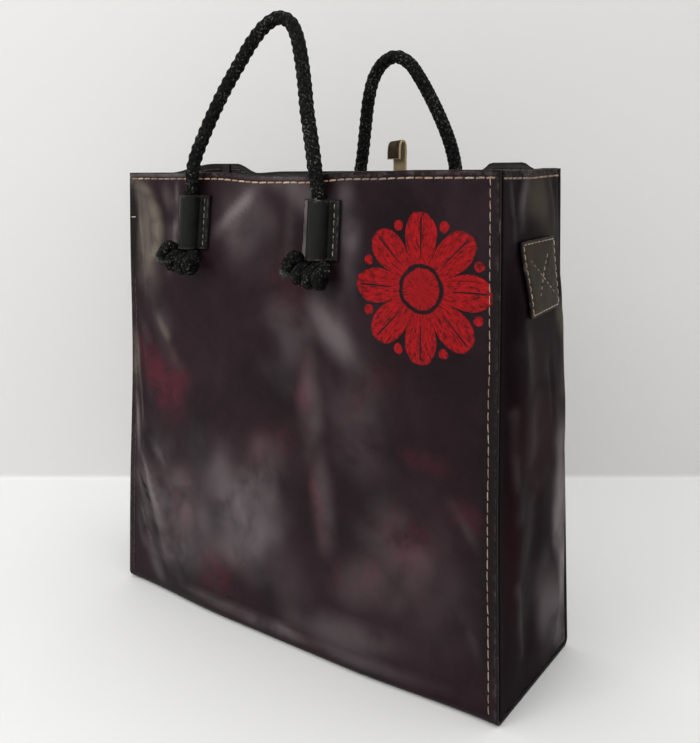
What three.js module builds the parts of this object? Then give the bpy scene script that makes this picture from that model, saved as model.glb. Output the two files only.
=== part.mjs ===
import * as THREE from 'three';

// A leather tote bag with knotted rope handles, standing open on its flat base.
// Millimetres. X runs across the front from left to right, Y from the front to the back, Z up.
// The origin is the middle of the base, on the surface that the bag stands on.

// Driving sizes
const LEATHER = 2;
const TRIM_LEATHER = 1.8;
const GAP = 0.4;
const HEIGHT = 301;
const BASE_DEPTH = 103;
const RIM_DEPTH = 95;
const BASE_HALF_WIDTH = 150.5;
const RIM_HALF_WIDTH = {
  front: { left: 145, right: 145 },
  back: { left: 144, right: 141 },
};
const FOLD_RADIUS = 4;
const BORDER = 6.2;
const BEND_RADIUS = 1.3;
const ROPE_DIAMETER = 8.6;

// The seams draw in a little
const EDGE_PULLS = [
  { face: 'front', side: 'left', height: 165, reach: 70, pull: 3 },
  { face: 'front', side: 'right', height: 120, reach: 80, pull: 1 },
  { face: 'back', side: 'left', height: 140, reach: 80, pull: 2 },
  { face: 'back', side: 'right', height: 225, reach: 60, pull: 1.5 },
];

// The fold along the foot of the front and back bows outwards at its middle
const BASE_BOW = { front: 4.5, back: 2.5 };

// The front's rim sags at its middle. The back left corner, a stretch near the back right corner and
// that corner stand above the rest of the rim
const RIM_RISES = [
  { face: 'front', from: -62, to: 52, run: 40, rise: -2.2 },
  { face: 'front', from: 62, to: 190, run: 34, rise: 0.8 },
  { face: 'back', from: -190, to: -106, run: 22, rise: 7.5 },
  { face: 'back', from: 87, to: 124, run: 8, rise: 4.9 },
  { face: 'back', from: -110, to: 150, run: 30, rise: 1.2 },
  { face: 'back', from: 112, to: 190, run: 26, rise: 1.9 },
];

// Broad swells of the front and back, outwards where the rise is positive
const SWELLS = {
  front: [
    { x: 20, z: 95, wide: 95, high: 70, rise: 3.2 },
    { x: -20, z: 290, wide: 50, high: 55, rise: -2.2 },
    { x: 92, z: 285, wide: 40, high: 60, rise: 1.8 },
    { x: -75, z: 175, wide: 45, high: 50, rise: -1.6 },
  ],
  back: [
    { x: -15, z: 105, wide: 100, high: 75, rise: 3.4 },
    { x: 25, z: 290, wide: 50, high: 50, rise: -1.2 },
    { x: -85, z: 270, wide: 40, high: 60, rise: 1.6 },
    { x: 70, z: 180, wide: 45, high: 55, rise: -1.4 },
  ],
};

// Main creases of the front and back, from one point to another
const CREASES = {
  front: [
    { x0: -136, z0: 296, x1: -117, z1: 262, width: 8, rise: 2.4 },
    { x0: -117, z0: 262, x1: -128, z1: 226, width: 8, rise: 2.2 },
    { x0: -126, z0: 226, x1: -98, z1: 175, width: 9, rise: 1.8 },
    { x0: -112, z0: 294, x1: -99, z1: 252, width: 8, rise: -1.6 },
    { x0: -22, z0: 296, x1: -48, z1: 262, width: 10, rise: 1.8 },
    { x0: 30, z0: 214, x1: 56, z1: 188, width: 11, rise: 1.4 },
    { x0: -138, z0: 110, x1: -104, z1: 28, width: 7, rise: 2.2 },
    { x0: -126, z0: 112, x1: -95, z1: 45, width: 7, rise: -1.6 },
    { x0: -70, z0: 112, x1: 10, z1: 42, width: 16, rise: 1.5 },
    { x0: 108, z0: 128, x1: 138, z1: 106, width: 9, rise: -1.2 },
  ],
  back: [
    { x0: 134, z0: 292, x1: 112, z1: 240, width: 9, rise: 2 },
    { x0: 116, z0: 236, x1: 92, z1: 180, width: 10, rise: 1.5 },
    { x0: -60, z0: 292, x1: -40, z1: 250, width: 10, rise: -1.6 },
    { x0: -134, z0: 120, x1: -100, z1: 40, width: 8, rise: 1.8 },
    { x0: 60, z0: 120, x1: -20, z1: 50, width: 16, rise: 1.4 },
  ],
};

// How far each gusset bulges outwards in its front and back halves, against height
const GUSSET_BULGE = {
  right: [
    { z: 0, front: 0, back: 0 },
    { z: 40, front: 2.2, back: 3 },
    { z: 110, front: 4.4, back: 4.8 },
    { z: 165, front: 5.6, back: 6.2 },
    { z: 222, front: 5, back: 6 },
    { z: 263, front: -0.4, back: 3.6 },
    { z: 310, front: -0.8, back: 2 },
  ],
  left: [
    { z: 0, front: 0, back: 0 },
    { z: 40, front: 2.5, back: 3 },
    { z: 110, front: 4.5, back: 6 },
    { z: 180, front: 5.5, back: 7 },
    { z: 240, front: 3.5, back: 5.5 },
    { z: 310, front: 0.6, back: 2.5 },
  ],
};
const GUSSET_SHOULDER = { front: 20, back: 9 };
const GUSSET_CREASES = {
  right: [
    { y0: -12, z0: 302, y1: -21, z1: 274, width: 6, rise: 1.6 },
    { y0: -26, z0: 204, y1: -18, z1: 150, width: 9, rise: 1.4 },
    { y0: 28, z0: 70, y1: 22, z1: 20, width: 9, rise: 1.6 },
    { y0: -8, z0: 110, y1: -14, z1: 30, width: 9, rise: -1.2 },
  ],
  left: [
    { y0: 12, z0: 302, y1: 20, z1: 276, width: 7, rise: 1.5 },
    { y0: 20, z0: 200, y1: 8, z1: 130, width: 9, rise: 1.4 },
    { y0: -22, z0: 80, y1: -16, z1: 25, width: 9, rise: 1.4 },
  ],
};

// Square stitched patch on each gusset
const PATCH = { width: 44, height: 42, thickness: 1.6, clear: 0.9 };
const PATCH_PLACES = {
  right: { y: 0.5, z: 242, turn: 0.04 },
  left: { y: -1, z: 243, turn: -0.03 },
};

// Rope tabs: a strip shaped over the rope with a stitched flange on each side
const TAB = { flange: 8, thickness: TRIM_LEATHER, ropeClear: 0.8, clear: 0.5 };
const TABS = {
  front: [
    { name: 'left', topX: -77.6, bottomX: -80.2, topZ: 286, bottomZ: 249.5 },
    { name: 'right', topX: 30.2, bottomX: 28.6, topZ: 284.5, bottomZ: 248 },
  ],
  back: [
    { name: 'left', topX: -14.8, bottomX: -17.5, topZ: 284.5, bottomZ: 248 },
    { name: 'right', topX: 65.7, bottomX: 67.5, topZ: 284, bottomZ: 247.5 },
  ],
};

// Free arch of each rope handle, leaning in over the opening
const ARCHES = {
  front: [
    { x: -74.4, y: -52.9, z: 303 },
    { x: -73.3, y: -50.9, z: 312 },
    { x: -70.4, y: -48.3, z: 322 },
    { x: -65.0, y: -44.5, z: 337 },
    { x: -57.5, y: -40.2, z: 354 },
    { x: -48.0, y: -36.0, z: 371 },
    { x: -38.0, y: -32.0, z: 387 },
    { x: -29.5, y: -29.9, z: 395.5 },
    { x: -19.5, y: -29.0, z: 399.2 },
    { x: -9.8, y: -29.9, z: 395.5 },
    { x: -2.8, y: -32.0, z: 387 },
    { x: 4.4, y: -36.0, z: 371 },
    { x: 10.3, y: -40.2, z: 354 },
    { x: 15.6, y: -44.5, z: 337 },
    { x: 21.2, y: -48.3, z: 322 },
    { x: 24.9, y: -50.9, z: 312 },
    { x: 27.8, y: -52.9, z: 303 },
  ],
  back: [
    { x: -12.6, y: 53.0, z: 303 },
    { x: -10.1, y: 51.7, z: 312 },
    { x: -7.6, y: 50.2, z: 323 },
    { x: -4.4, y: 48.2, z: 338 },
    { x: -0.9, y: 46.3, z: 353 },
    { x: 4.9, y: 44.4, z: 367 },
    { x: 13.5, y: 43.2, z: 376.3 },
    { x: 24.0, y: 42.7, z: 379.4 },
    { x: 34.0, y: 43.5, z: 374.3 },
    { x: 42.2, y: 45.0, z: 363 },
    { x: 49.6, y: 46.8, z: 349.5 },
    { x: 56.0, y: 48.5, z: 336 },
    { x: 61.2, y: 50.2, z: 322.5 },
    { x: 63.8, y: 51.7, z: 312 },
    { x: 64.9, y: 53.0, z: 303 },
  ],
};

// Stopper knots: half sizes of the lump, its middle below the tab and to the left of it.
// Left of liftFrom the lump rises beside the tab
const KNOT = {
  halfWidth: 19,
  halfDepth: 10.2,
  halfHeight: 8.3,
  below: 9.15,
  aside: -4,
  off: 10.8,
  lift: 8.4,
  liftFrom: -1.5,
  liftRun: 12,
};

// Closing strap: sewn up the inside of the back, standing over the rim and curled forward.
// Each row gives how far it stands forward of the back's inner side, and its shift to the right
const STRAP = { width: 10.4, x: 27.2, clear: 0.4 };
const STRAP_RUN = [
  { z: 266, forward: 0, shift: 0 },
  { z: 279, forward: 0, shift: 0 },
  { z: 291, forward: 0, shift: 0 },
  { z: 302, forward: 0.1, shift: 0.1 },
  { z: 311, forward: 0.3, shift: 0.3 },
  { z: 316.6, forward: 0.4, shift: 0.4 },
  { z: 319.9, forward: 1, shift: 0.3 },
  { z: 321.7, forward: 2.6, shift: 0.1 },
  { z: 321.4, forward: 4.6, shift: -0.2 },
  { z: 319.2, forward: 5.9, shift: -0.5 },
  { z: 314.8, forward: 6.2, shift: -0.8 },
  { z: 309.8, forward: 5.9, shift: -1 },
];

// Grid counts: more gives finer facets
const FACE_COLUMNS = 15;
const FACE_ROWS = 15;
const FOLD_STEPS = 3;
const BASE_ROWS = 3;
const SHOULDER_COLUMNS = 3;
const MIDDLE_COLUMNS = 6;
const GUSSET_ROWS = 15;
const ROPE_SIDES = 10;
const ROPE_STEP = 11;

// Small helpers

function mix(a, b, t) {
  return a + (b - a) * t;
}

function smooth(t) {
  const s = Math.min(1, Math.max(0, t));
  return s * s * (3 - 2 * s);
}

function hill(t) {
  return Math.exp(-t * t);
}

function steps(count) {
  return Array.from({ length: count + 1 }, (_, i) => i / count);
}

// Value of a table at a height, eased between its rows
function eased(table, key, z) {
  const next = table.findIndex((row) => row.z >= z);
  if (next <= 0) {
    return next === 0 ? table[0][key] : table[table.length - 1][key];
  }
  const low = table[next - 1];
  const high = table[next];
  return mix(low[key], high[key], smooth((z - low.z) / (high.z - low.z)));
}

// Height of a soft ridge along a straight run from (a0, b0) to (a1, b1), seen at (a, b)
function ridge(a, b, a0, b0, a1, b1, width, rise) {
  const da = a1 - a0;
  const db = b1 - b0;
  const t = Math.min(1, Math.max(0, ((a - a0) * da + (b - b0) * db) / (da * da + db * db)));
  const away = Math.hypot(a - a0 - da * t, b - b0 - db * t);
  return rise * hill(away / width);
}

// A sheet is points on its middle surface and faces between them, given a thickness afterwards
class Sheet {
  constructor() {
    this.points = [];
    this.faces = [];
    this.index = new Map();
  }

  point(p) {
    const key = [p.x, p.y, p.z].map((v) => Math.round(v * 1000)).join(',');
    if (!this.index.has(key)) {
      this.index.set(key, this.points.length);
      this.points.push(p.clone());
    }
    return this.index.get(key);
  }

  grid(rows) {
    const ids = rows.map((row) => row.map((p) => this.point(p)));
    for (let i = 0; i + 1 < ids.length; i += 1) {
      for (let j = 0; j + 1 < ids[i].length; j += 1) {
        this.faces.push([ids[i][j], ids[i][j + 1], ids[i + 1][j + 1]]);
        this.faces.push([ids[i][j], ids[i + 1][j + 1], ids[i + 1][j]]);
      }
    }
    return this;
  }

  normals() {
    const sums = this.points.map(() => new THREE.Vector3());
    for (const [a, b, c] of this.faces) {
      const ab = this.points[b].clone().sub(this.points[a]);
      const ac = this.points[c].clone().sub(this.points[a]);
      const normal = ab.cross(ac);
      for (const id of [a, b, c]) {
        sums[id].add(normal);
      }
    }
    return sums.map((n) => n.normalize());
  }

  // Both sides of the sheet, and a wall along its open edge
  thicken(thickness) {
    const count = this.points.length;
    const normals = this.normals();
    const positions = [];
    for (const side of [0.5, -0.5]) {
      this.points.forEach((p, i) => {
        const q = p.clone().addScaledVector(normals[i], side * thickness);
        positions.push(q.x, q.y, q.z);
      });
    }
    const triangles = [];
    const open = new Map();
    for (const face of this.faces) {
      const [a, b, c] = face;
      triangles.push(a, b, c, a + count, c + count, b + count);
      for (const [p, q] of [[a, b], [b, c], [c, a]]) {
        if (!open.delete(`${q},${p}`)) {
          open.set(`${p},${q}`, [p, q]);
        }
      }
    }
    for (const [p, q] of open.values()) {
      triangles.push(p, p + count, q + count, p, q + count, q);
    }
    const geometry = new THREE.BufferGeometry();
    geometry.setAttribute('position', new THREE.Float32BufferAttribute(positions, 3));
    geometry.setIndex(triangles);
    return geometry;
  }
}

// Shape of the body: front, base and back in one piece

const OUT = { front: -1, back: 1 };
const ACROSS = { left: -1, right: 1 };
const FOLD_TOP = FOLD_RADIUS + LEATHER / 2;

function halfDepth(z) {
  return mix(BASE_DEPTH, RIM_DEPTH, z / HEIGHT) / 2 - LEATHER / 2;
}

function rimHeight(face, x) {
  let z = HEIGHT;
  for (const row of RIM_RISES) {
    if (row.face === face) {
      const up = smooth((x - row.from) / row.run);
      const down = smooth((row.to - x) / row.run);
      z += row.rise * up * down;
    }
  }
  return z;
}

// Distance from the middle to the outer edge of the border
function edgeX(face, side, z) {
  let x = mix(BASE_HALF_WIDTH, RIM_HALF_WIDTH[face][side], z / HEIGHT);
  for (const row of EDGE_PULLS) {
    if (row.face === face && row.side === side) {
      x -= row.pull * hill((z - row.height) / row.reach);
    }
  }
  return x;
}

function seamX(face, side, z) {
  return edgeX(face, side, z) - BORDER;
}

// How far the face stands out from its flat plane at (x, z)
function swell(face, x, z) {
  const side = x < 0 ? 'left' : 'right';
  const fromSeam = smooth((seamX(face, side, z) - 3 - Math.abs(x)) / 22);
  const fromFold = smooth((z - FOLD_RADIUS - 4) / 26);
  let broad = 0;
  for (const row of SWELLS[face]) {
    broad += row.rise * hill((x - row.x) / row.wide) * hill((z - row.z) / row.high);
  }
  let fine = 0;
  for (const row of CREASES[face]) {
    fine += ridge(x, z, row.x0, row.z0, row.x1, row.z1, row.width, row.rise);
  }
  for (const tab of TABS[face]) {
    const middleX = (tab.topX + tab.bottomX) / 2;
    const middleZ = (tab.topZ + tab.bottomZ) / 2;
    fine *= 1 - hill((x - middleX) / 26) * hill((z - middleZ) / 38);
  }
  return (broad + fine) * fromSeam * fromFold;
}

// How far the foot of the face bows out at (x, z), fading to the seams and upwards
function bow(face, x, z) {
  const side = x < 0 ? 'left' : 'right';
  const fromSeam = smooth((seamX(face, side, z) - 3 - Math.abs(x)) / 90);
  return BASE_BOW[face] * fromSeam * (1 - smooth(z / 140));
}

// Middle of the leather on the front or back
function facePoint(face, x, z) {
  return new THREE.Vector3(x, OUT[face] * (halfDepth(z) + bow(face, x, z) + swell(face, x, z)), z);
}

// A point a given distance off the outer side of the front or back
function offFace(face, x, z, off) {
  const p = facePoint(face, x, z);
  p.y += OUT[face] * (LEATHER / 2 + off);
  return p;
}

function columnX(face, u, z) {
  const side = u < 0 ? 'left' : 'right';
  const reach = Math.abs(u);
  if (reach <= 1) {
    return u * seamX(face, side, z);
  }
  return ACROSS[side] * mix(seamX(face, side, z), edgeX(face, side, z), reach - 1);
}

function bodyColumns() {
  const inner = steps(FACE_COLUMNS).map((t) => Math.sin((t - 0.5) * 2.2) / Math.sin(1.1));
  return [-2, -1.5, ...inner, 1.5, 2];
}

function faceRow(face, t) {
  return bodyColumns().map((u) => {
    const guess = columnX(face, u, mix(HEIGHT, FOLD_TOP, t));
    const z = mix(rimHeight(face, guess), FOLD_TOP, t);
    return facePoint(face, columnX(face, u, z), z);
  });
}

// Distance from the middle of the base to where it turns up into a face
function footDepth(face, x) {
  return halfDepth(FOLD_TOP) + bow(face, x, FOLD_TOP) - FOLD_RADIUS;
}

function foldRow(face, t) {
  const angle = (t * Math.PI) / 2;
  const z = FOLD_TOP - FOLD_RADIUS * Math.sin(angle);
  return bodyColumns().map((u) => {
    const x = columnX(face, u, FOLD_TOP);
    const middleY = footDepth(face, x);
    return new THREE.Vector3(x, OUT[face] * (middleY + FOLD_RADIUS * Math.cos(angle)), z);
  });
}

function baseRow(t) {
  return bodyColumns().map((u) => {
    const x = mix(columnX('front', u, FOLD_TOP), columnX('back', u, FOLD_TOP), t);
    const y = mix(-footDepth('front', x), footDepth('back', x), t);
    return new THREE.Vector3(x, y, LEATHER / 2);
  });
}

function bodyPanel() {
  const rows = [
    ...steps(FACE_ROWS).map((t) => faceRow('front', t)),
    ...steps(FOLD_STEPS).slice(1).map((t) => foldRow('front', t)),
    ...steps(BASE_ROWS).slice(1, -1).map((t) => baseRow(t)),
    ...steps(FOLD_STEPS).slice(1).reverse().map((t) => foldRow('back', t)),
    ...steps(FACE_ROWS).reverse().map((t) => faceRow('back', t)),
  ];
  return new Sheet().grid(rows.map((row) => row.reverse())).thicken(LEATHER);
}

// Shape of the gussets: a bulging panel, level with the borders' edges, whose sides and foot turn
// inwards into a flange that lies inside the body

const FLANGE_INSET = LEATHER + GAP;
const FLANGE_REACH = 11;
const PANEL_INSET = LEATHER / 2 + 0.3;

function gussetHalfWidth(z) {
  return halfDepth(z) - FLANGE_INSET - BEND_RADIUS;
}

function gussetBase(side, y, z) {
  const t = smooth((y / gussetHalfWidth(z) + 1) / 2);
  return mix(edgeX('front', side, z), edgeX('back', side, z), t) - PANEL_INSET;
}

// Middle of the gusset's leather: distance outwards along X
function gussetX(side, y, z) {
  const inwards = gussetHalfWidth(z) - Math.abs(y);
  const shoulder = y < 0 ? GUSSET_SHOULDER.front : GUSSET_SHOULDER.back;
  const front = eased(GUSSET_BULGE[side], 'front', z);
  const back = eased(GUSSET_BULGE[side], 'back', z);
  let out = mix(front, back, smooth((y + 25) / 50)) * smooth(inwards / shoulder);
  const inner = smooth(inwards / 12) * smooth((z - 6) / 30);
  for (const row of GUSSET_CREASES[side]) {
    out += inner * ridge(y, z, row.y0, row.z0, row.y1, row.z1, row.width, row.rise);
  }
  return gussetBase(side, y, z) + out;
}

function gussetPoint(side, y, z) {
  return new THREE.Vector3(ACROSS[side] * gussetX(side, y, z), y, z);
}

function gussetRim(side, y) {
  const sign = ACROSS[side];
  const frontZ = rimHeight('front', sign * seamX('front', side, HEIGHT));
  const backZ = rimHeight('back', sign * seamX('back', side, HEIGHT));
  return mix(frontZ, backZ, smooth((y + 12) / 52));
}

// Outline of the panel from the rim down one side, round the corner, along the foot and up again:
// each entry is a point of the outline and the way out from it
function gussetOutline(side) {
  const cornerY = halfDepth(FOLD_TOP) - FOLD_RADIUS;
  const cornerRadius = FOLD_RADIUS - FLANGE_INSET - BEND_RADIUS;
  const entry = (y, z, outY, outZ) => ({ y, z, outY, outZ });
  const run = (sign) => {
    const half = [];
    for (const t of steps(GUSSET_ROWS)) {
      const rim = gussetRim(side, sign * gussetHalfWidth(HEIGHT));
      const z = mix(rim, FOLD_TOP, t);
      half.push(entry(sign * gussetHalfWidth(z), z, sign, 0));
    }
    for (const t of steps(2).slice(1)) {
      const outY = sign * Math.cos((t * Math.PI) / 2);
      const outZ = -Math.sin((t * Math.PI) / 2);
      half.push(entry(sign * cornerY + outY * cornerRadius, FOLD_TOP + outZ * cornerRadius, outY, outZ));
    }
    return half;
  };
  return { front: run(-1), back: run(1) };
}

// Columns from the front seam to the back seam, closer over the rounded shoulders
function gussetColumns() {
  const width = 2 * gussetHalfWidth(HEIGHT / 2);
  const front = GUSSET_SHOULDER.front / width;
  const back = 1 - GUSSET_SHOULDER.back / width;
  return [
    ...steps(SHOULDER_COLUMNS).map((t) => t * front),
    ...steps(MIDDLE_COLUMNS).slice(1, -1).map((t) => mix(front, back, t)),
    ...steps(SHOULDER_COLUMNS).map((t) => mix(back, 1, t)),
  ];
}

function gusset(side) {
  const outline = gussetOutline(side);
  const columns = gussetColumns();
  const rows = outline.front.map((front, i) => {
    const back = outline.back[i];
    return columns.map((t) => {
      const y = mix(front.y, back.y, t);
      const rimShare = smooth((front.z - HEIGHT * 0.75) / (HEIGHT * 0.25));
      const rim = gussetRim(side, y) - gussetRim(side, front.y);
      return gussetPoint(side, y, front.z + rim * rimShare);
    });
  });
  // The back end of each row uses the back outline's own height
  rows.forEach((row, i) => {
    const back = outline.back[i];
    row[columns.length - 1] = gussetPoint(side, back.y, back.z);
  });
  const foot = columns.slice(1, -1).map((t) => {
    const y = mix(outline.front.at(-1).y, outline.back.at(-1).y, t);
    return { y, z: outline.front.at(-1).z, outY: 0, outZ: -1 };
  });
  const border = [...outline.front, ...foot, ...outline.back.reverse()];
  const flange = border.map((p) => {
    const start = gussetPoint(side, p.y, p.z);
    const face = p.y < 0 ? 'front' : 'back';
    const end = ACROSS[side] * (edgeX(face, side, p.z) - FLANGE_REACH);
    const place = (outwards, x) => new THREE.Vector3(x, p.y + p.outY * outwards, p.z + p.outZ * outwards);
    const bend = (angle) => place(
      BEND_RADIUS * Math.sin(angle),
      start.x - ACROSS[side] * BEND_RADIUS * (1 - Math.cos(angle)),
    );
    const last = bend(Math.PI / 2);
    const middle = place(BEND_RADIUS, mix(last.x, end, 0.5));
    return [start, bend(Math.PI / 4), last, middle, place(BEND_RADIUS, end)];
  });
  const turned = (grid) => grid.map((row) => row.reverse());
  const sheet = new Sheet();
  if (side === 'left') {
    sheet.grid(rows).grid(turned(flange));
  } else {
    sheet.grid(turned(rows)).grid(flange);
  }
  return sheet.thicken(LEATHER);
}

// A point a given distance off the outer side of a gusset
function offGusset(side, y, z, off) {
  const step = 2;
  const alongY = gussetPoint(side, y + step, z).sub(gussetPoint(side, y - step, z));
  const alongZ = gussetPoint(side, y, z + step).sub(gussetPoint(side, y, z - step));
  const normal = alongY.cross(alongZ).normalize().multiplyScalar(ACROSS[side]);
  return gussetPoint(side, y, z).addScaledVector(normal, LEATHER / 2 + off);
}

function sidePatch(side) {
  const place = PATCH_PLACES[side];
  const off = PATCH.clear + PATCH.thickness / 2;
  const rows = steps(5).map((down) => steps(5).map((along) => {
    const a = (along - 0.5) * PATCH.width;
    const b = (0.5 - down) * PATCH.height;
    const y = place.y + a * Math.cos(place.turn) - b * Math.sin(place.turn);
    const z = place.z + a * Math.sin(place.turn) + b * Math.cos(place.turn);
    return offGusset(side, y, z, off);
  }));
  const outwards = side === 'left' ? rows : rows.map((row) => row.reverse());
  return new Sheet().grid(outwards).thicken(PATCH.thickness);
}

// Rope tabs and ropes

const ROPE_RADIUS = ROPE_DIAMETER / 2;
const ROPE_STOP = 1.1;
const ROPE_OFF = ROPE_RADIUS + TAB.clear;
const TUNNEL_RADIUS = ROPE_RADIUS + TAB.ropeClear + TAB.thickness / 2;

// Section of a tab: across, and off the face, in the middle of its leather
function tabSection() {
  const flat = TAB.clear + TAB.thickness / 2;
  const round = steps(8).map((t) => {
    const angle = mix(196, -16, t) * (Math.PI / 180);
    return { across: TUNNEL_RADIUS * Math.cos(angle), off: ROPE_OFF + TUNNEL_RADIUS * Math.sin(angle) };
  });
  const foot = [
    { across: TUNNEL_RADIUS + TAB.flange, off: flat },
    { across: TUNNEL_RADIUS + TAB.flange * 0.55, off: flat },
    { across: TUNNEL_RADIUS + TAB.flange * 0.22, off: flat + 0.1 },
    { across: TUNNEL_RADIUS + 0.35, off: flat + 0.9 },
  ];
  const mirrored = foot.map((p) => ({ across: -p.across, off: p.off }));
  return [...mirrored, ...round, ...foot.reverse()];
}

function tabLineX(tab, z) {
  return mix(tab.bottomX, tab.topX, (z - tab.bottomZ) / (tab.topZ - tab.bottomZ));
}

function ropeTab(face, tab) {
  const rows = steps(3).map((t) => {
    const z = mix(tab.topZ, tab.bottomZ, t);
    return tabSection().map((p) => offFace(face, tabLineX(tab, z) + p.across, z, p.off));
  });
  const outwards = face === 'back' ? rows.map((row) => row.reverse()) : rows;
  return new Sheet().grid(outwards).thicken(TAB.thickness);
}

function knotMiddle(face, tab) {
  const z = tab.bottomZ - KNOT.below;
  return offFace(face, tab.bottomX + KNOT.aside, z, KNOT.off);
}

function ropeRoute(face) {
  const [left, right] = TABS[face];
  const through = (tab) => [tab.topZ, mix(tab.topZ, tab.bottomZ, 0.5), tab.bottomZ - ROPE_STOP].map(
    (z) => offFace(face, tabLineX(tab, z), z, ROPE_OFF),
  );
  const arch = ARCHES[face].map((p) => new THREE.Vector3(p.x, p.y, p.z));
  return [...through(left).reverse(), ...arch, ...through(right)];
}

function rope(face) {
  const curve = new THREE.CatmullRomCurve3(ropeRoute(face), false, 'centripetal');
  const section = new THREE.Shape();
  for (let i = 0; i <= ROPE_SIDES; i += 1) {
    const angle = (i / ROPE_SIDES) * Math.PI * 2;
    const x = ROPE_RADIUS * Math.cos(angle);
    const y = ROPE_RADIUS * Math.sin(angle);
    if (i === 0) {
      section.moveTo(x, y);
    } else if (i < ROPE_SIDES) {
      section.lineTo(x, y);
    }
  }
  section.closePath();
  const count = Math.round(curve.getLength() / ROPE_STEP);
  return new THREE.ExtrudeGeometry(section, { steps: count, extrudePath: curve, curveSegments: 1 });
}

// Outer shape of a stopper knot: an uneven lump of three turns of rope
function knot(face, tab) {
  const middle = knotMiddle(face, tab);
  const geometry = new THREE.IcosahedronGeometry(1, 2);
  const position = geometry.getAttribute('position');
  const p = new THREE.Vector3();
  for (let i = 0; i < position.count; i += 1) {
    p.fromBufferAttribute(position, i);
    const turn = Math.atan2(p.z, p.x);
    const lobes = 1 - 0.07 * (1 - Math.cos(3 * turn + 0.6)) * (1 - p.y * p.y);
    p.multiplyScalar(lobes);
    const across = p.x * KNOT.halfWidth;
    const up = p.z * KNOT.halfHeight + KNOT.lift * smooth((KNOT.liftFrom - across) / KNOT.liftRun);
    position.setXYZ(i, middle.x + across, middle.y + p.y * KNOT.halfDepth, middle.z + up);
  }
  return geometry;
}

function closingStrap() {
  const rows = STRAP_RUN.map((p) => [-1, 0, 1].map((side) => {
    const x = STRAP.x + p.shift + (side * STRAP.width) / 2;
    const inside = facePoint('back', x, Math.min(p.z, HEIGHT)).y - LEATHER / 2;
    return new THREE.Vector3(x, inside - STRAP.clear - TRIM_LEATHER / 2 - p.forward, p.z);
  }));
  return new Sheet().grid(rows).thicken(TRIM_LEATHER);
}

// Materials

function material(color, roughness) {
  return new THREE.MeshStandardMaterial({ color, roughness, metalness: 0 });
}

const bodyLeather = material('#35282f', 0.45);
const gussetLeather = material('#2a2126', 0.42);
const patchLeather = material('#36302a', 0.55);
const tabLeather = material('#1c1d1c', 0.4);
const ropeCotton = material('#121312', 0.9);
const strapLeather = material('#2b241e', 0.6);

// The bag

const bag = new THREE.Group();

function add(name, geometry, finish) {
  const mesh = new THREE.Mesh(geometry, finish);
  mesh.name = name;
  bag.add(mesh);
}

add('body_panel', bodyPanel(), bodyLeather);
for (const side of ['left', 'right']) {
  add(`gusset_${side}`, gusset(side), gussetLeather);
  add(`side_patch_${side}`, sidePatch(side), patchLeather);
}
for (const face of ['front', 'back']) {
  for (const tab of TABS[face]) {
    add(`rope_tab_${face}_${tab.name}`, ropeTab(face, tab), tabLeather);
    add(`knot_${face}_${tab.name}`, knot(face, tab), ropeCotton);
  }
  add(`rope_handle_${face}`, rope(face), ropeCotton);
}
add('closing_strap', closingStrap(), strapLeather);

export default bag;
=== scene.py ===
"""A leather tote bag with knotted rope handles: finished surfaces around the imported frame.

Tables and surface formulas are in millimetres in the bag's frame: X across the front from left to
right, Y from the front to the back, Z up, with the origin in the middle of the base. Meshes are
written in metres.
"""

import math
from collections import namedtuple

import bpy
import numpy as np
from bpy.props import FloatProperty, FloatVectorProperty, IntProperty, PointerProperty
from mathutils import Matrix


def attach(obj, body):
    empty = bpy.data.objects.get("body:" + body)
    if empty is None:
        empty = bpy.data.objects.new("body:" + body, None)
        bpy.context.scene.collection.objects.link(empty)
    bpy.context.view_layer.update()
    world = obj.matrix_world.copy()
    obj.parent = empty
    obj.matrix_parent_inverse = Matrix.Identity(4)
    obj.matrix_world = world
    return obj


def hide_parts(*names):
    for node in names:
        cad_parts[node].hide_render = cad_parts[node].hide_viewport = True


bl_info = {
    "name": "Leather tote bag",
    "version": (1, 0, 0),
    "blender": (4, 5, 0),
    "location": "3D View > Sidebar > Tote bag",
    "description": "Builds a leather tote bag with rope handles around its packed frame",
    "category": "Object",
}

MM = 0.001
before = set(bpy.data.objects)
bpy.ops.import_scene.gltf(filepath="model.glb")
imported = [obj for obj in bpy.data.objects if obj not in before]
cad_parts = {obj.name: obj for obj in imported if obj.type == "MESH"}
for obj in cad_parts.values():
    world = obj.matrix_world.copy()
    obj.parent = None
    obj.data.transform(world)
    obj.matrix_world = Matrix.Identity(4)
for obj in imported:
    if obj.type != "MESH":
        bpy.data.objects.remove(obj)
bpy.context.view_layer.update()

# Construction sizes, as in the frame
LEATHER = 2.0
TRIM_LEATHER = 1.8
GAP = 0.4
HEIGHT = 301.0
BASE_DEPTH = 103.0
RIM_DEPTH = 95.0
BASE_HALF_WIDTH = 150.5
RIM_HALF_WIDTH = {
    "front": {"left": 145, "right": 145},
    "back": {"left": 144, "right": 141},
}
FOLD_RADIUS = 4.0
FOLD_TOP = FOLD_RADIUS + LEATHER / 2
BORDER = 6.2
BEND_RADIUS = 1.3
# Points across the borders, beside the seams and between them, down a face below the rim and on,
# round a fold, over the base, and up and across a gusset
BORDER_POINTS, SEAM_POINTS, MIDDLE_POINTS = 10, 9, 92
RIM_POINTS, FACE_POINTS = 14, 98
FOLD_POINTS, BASE_POINTS = 8, 24
GUSSET_RIM_POINTS, GUSSET_HIGH_POINTS, GUSSET_WIDE_POINTS = 8, 112, 52
# Cut edges: how far they bulge, as a share of half the thickness, and the steps of their arc
EDGE_ROUND = 0.7
EDGE_STEPS = 5
FLANGE_INSET = LEATHER + GAP
FLANGE_REACH = 11.0
PANEL_INSET = LEATHER / 2 + 0.3
BASE_BOW = {"front": 4.5, "back": 2.5}
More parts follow.
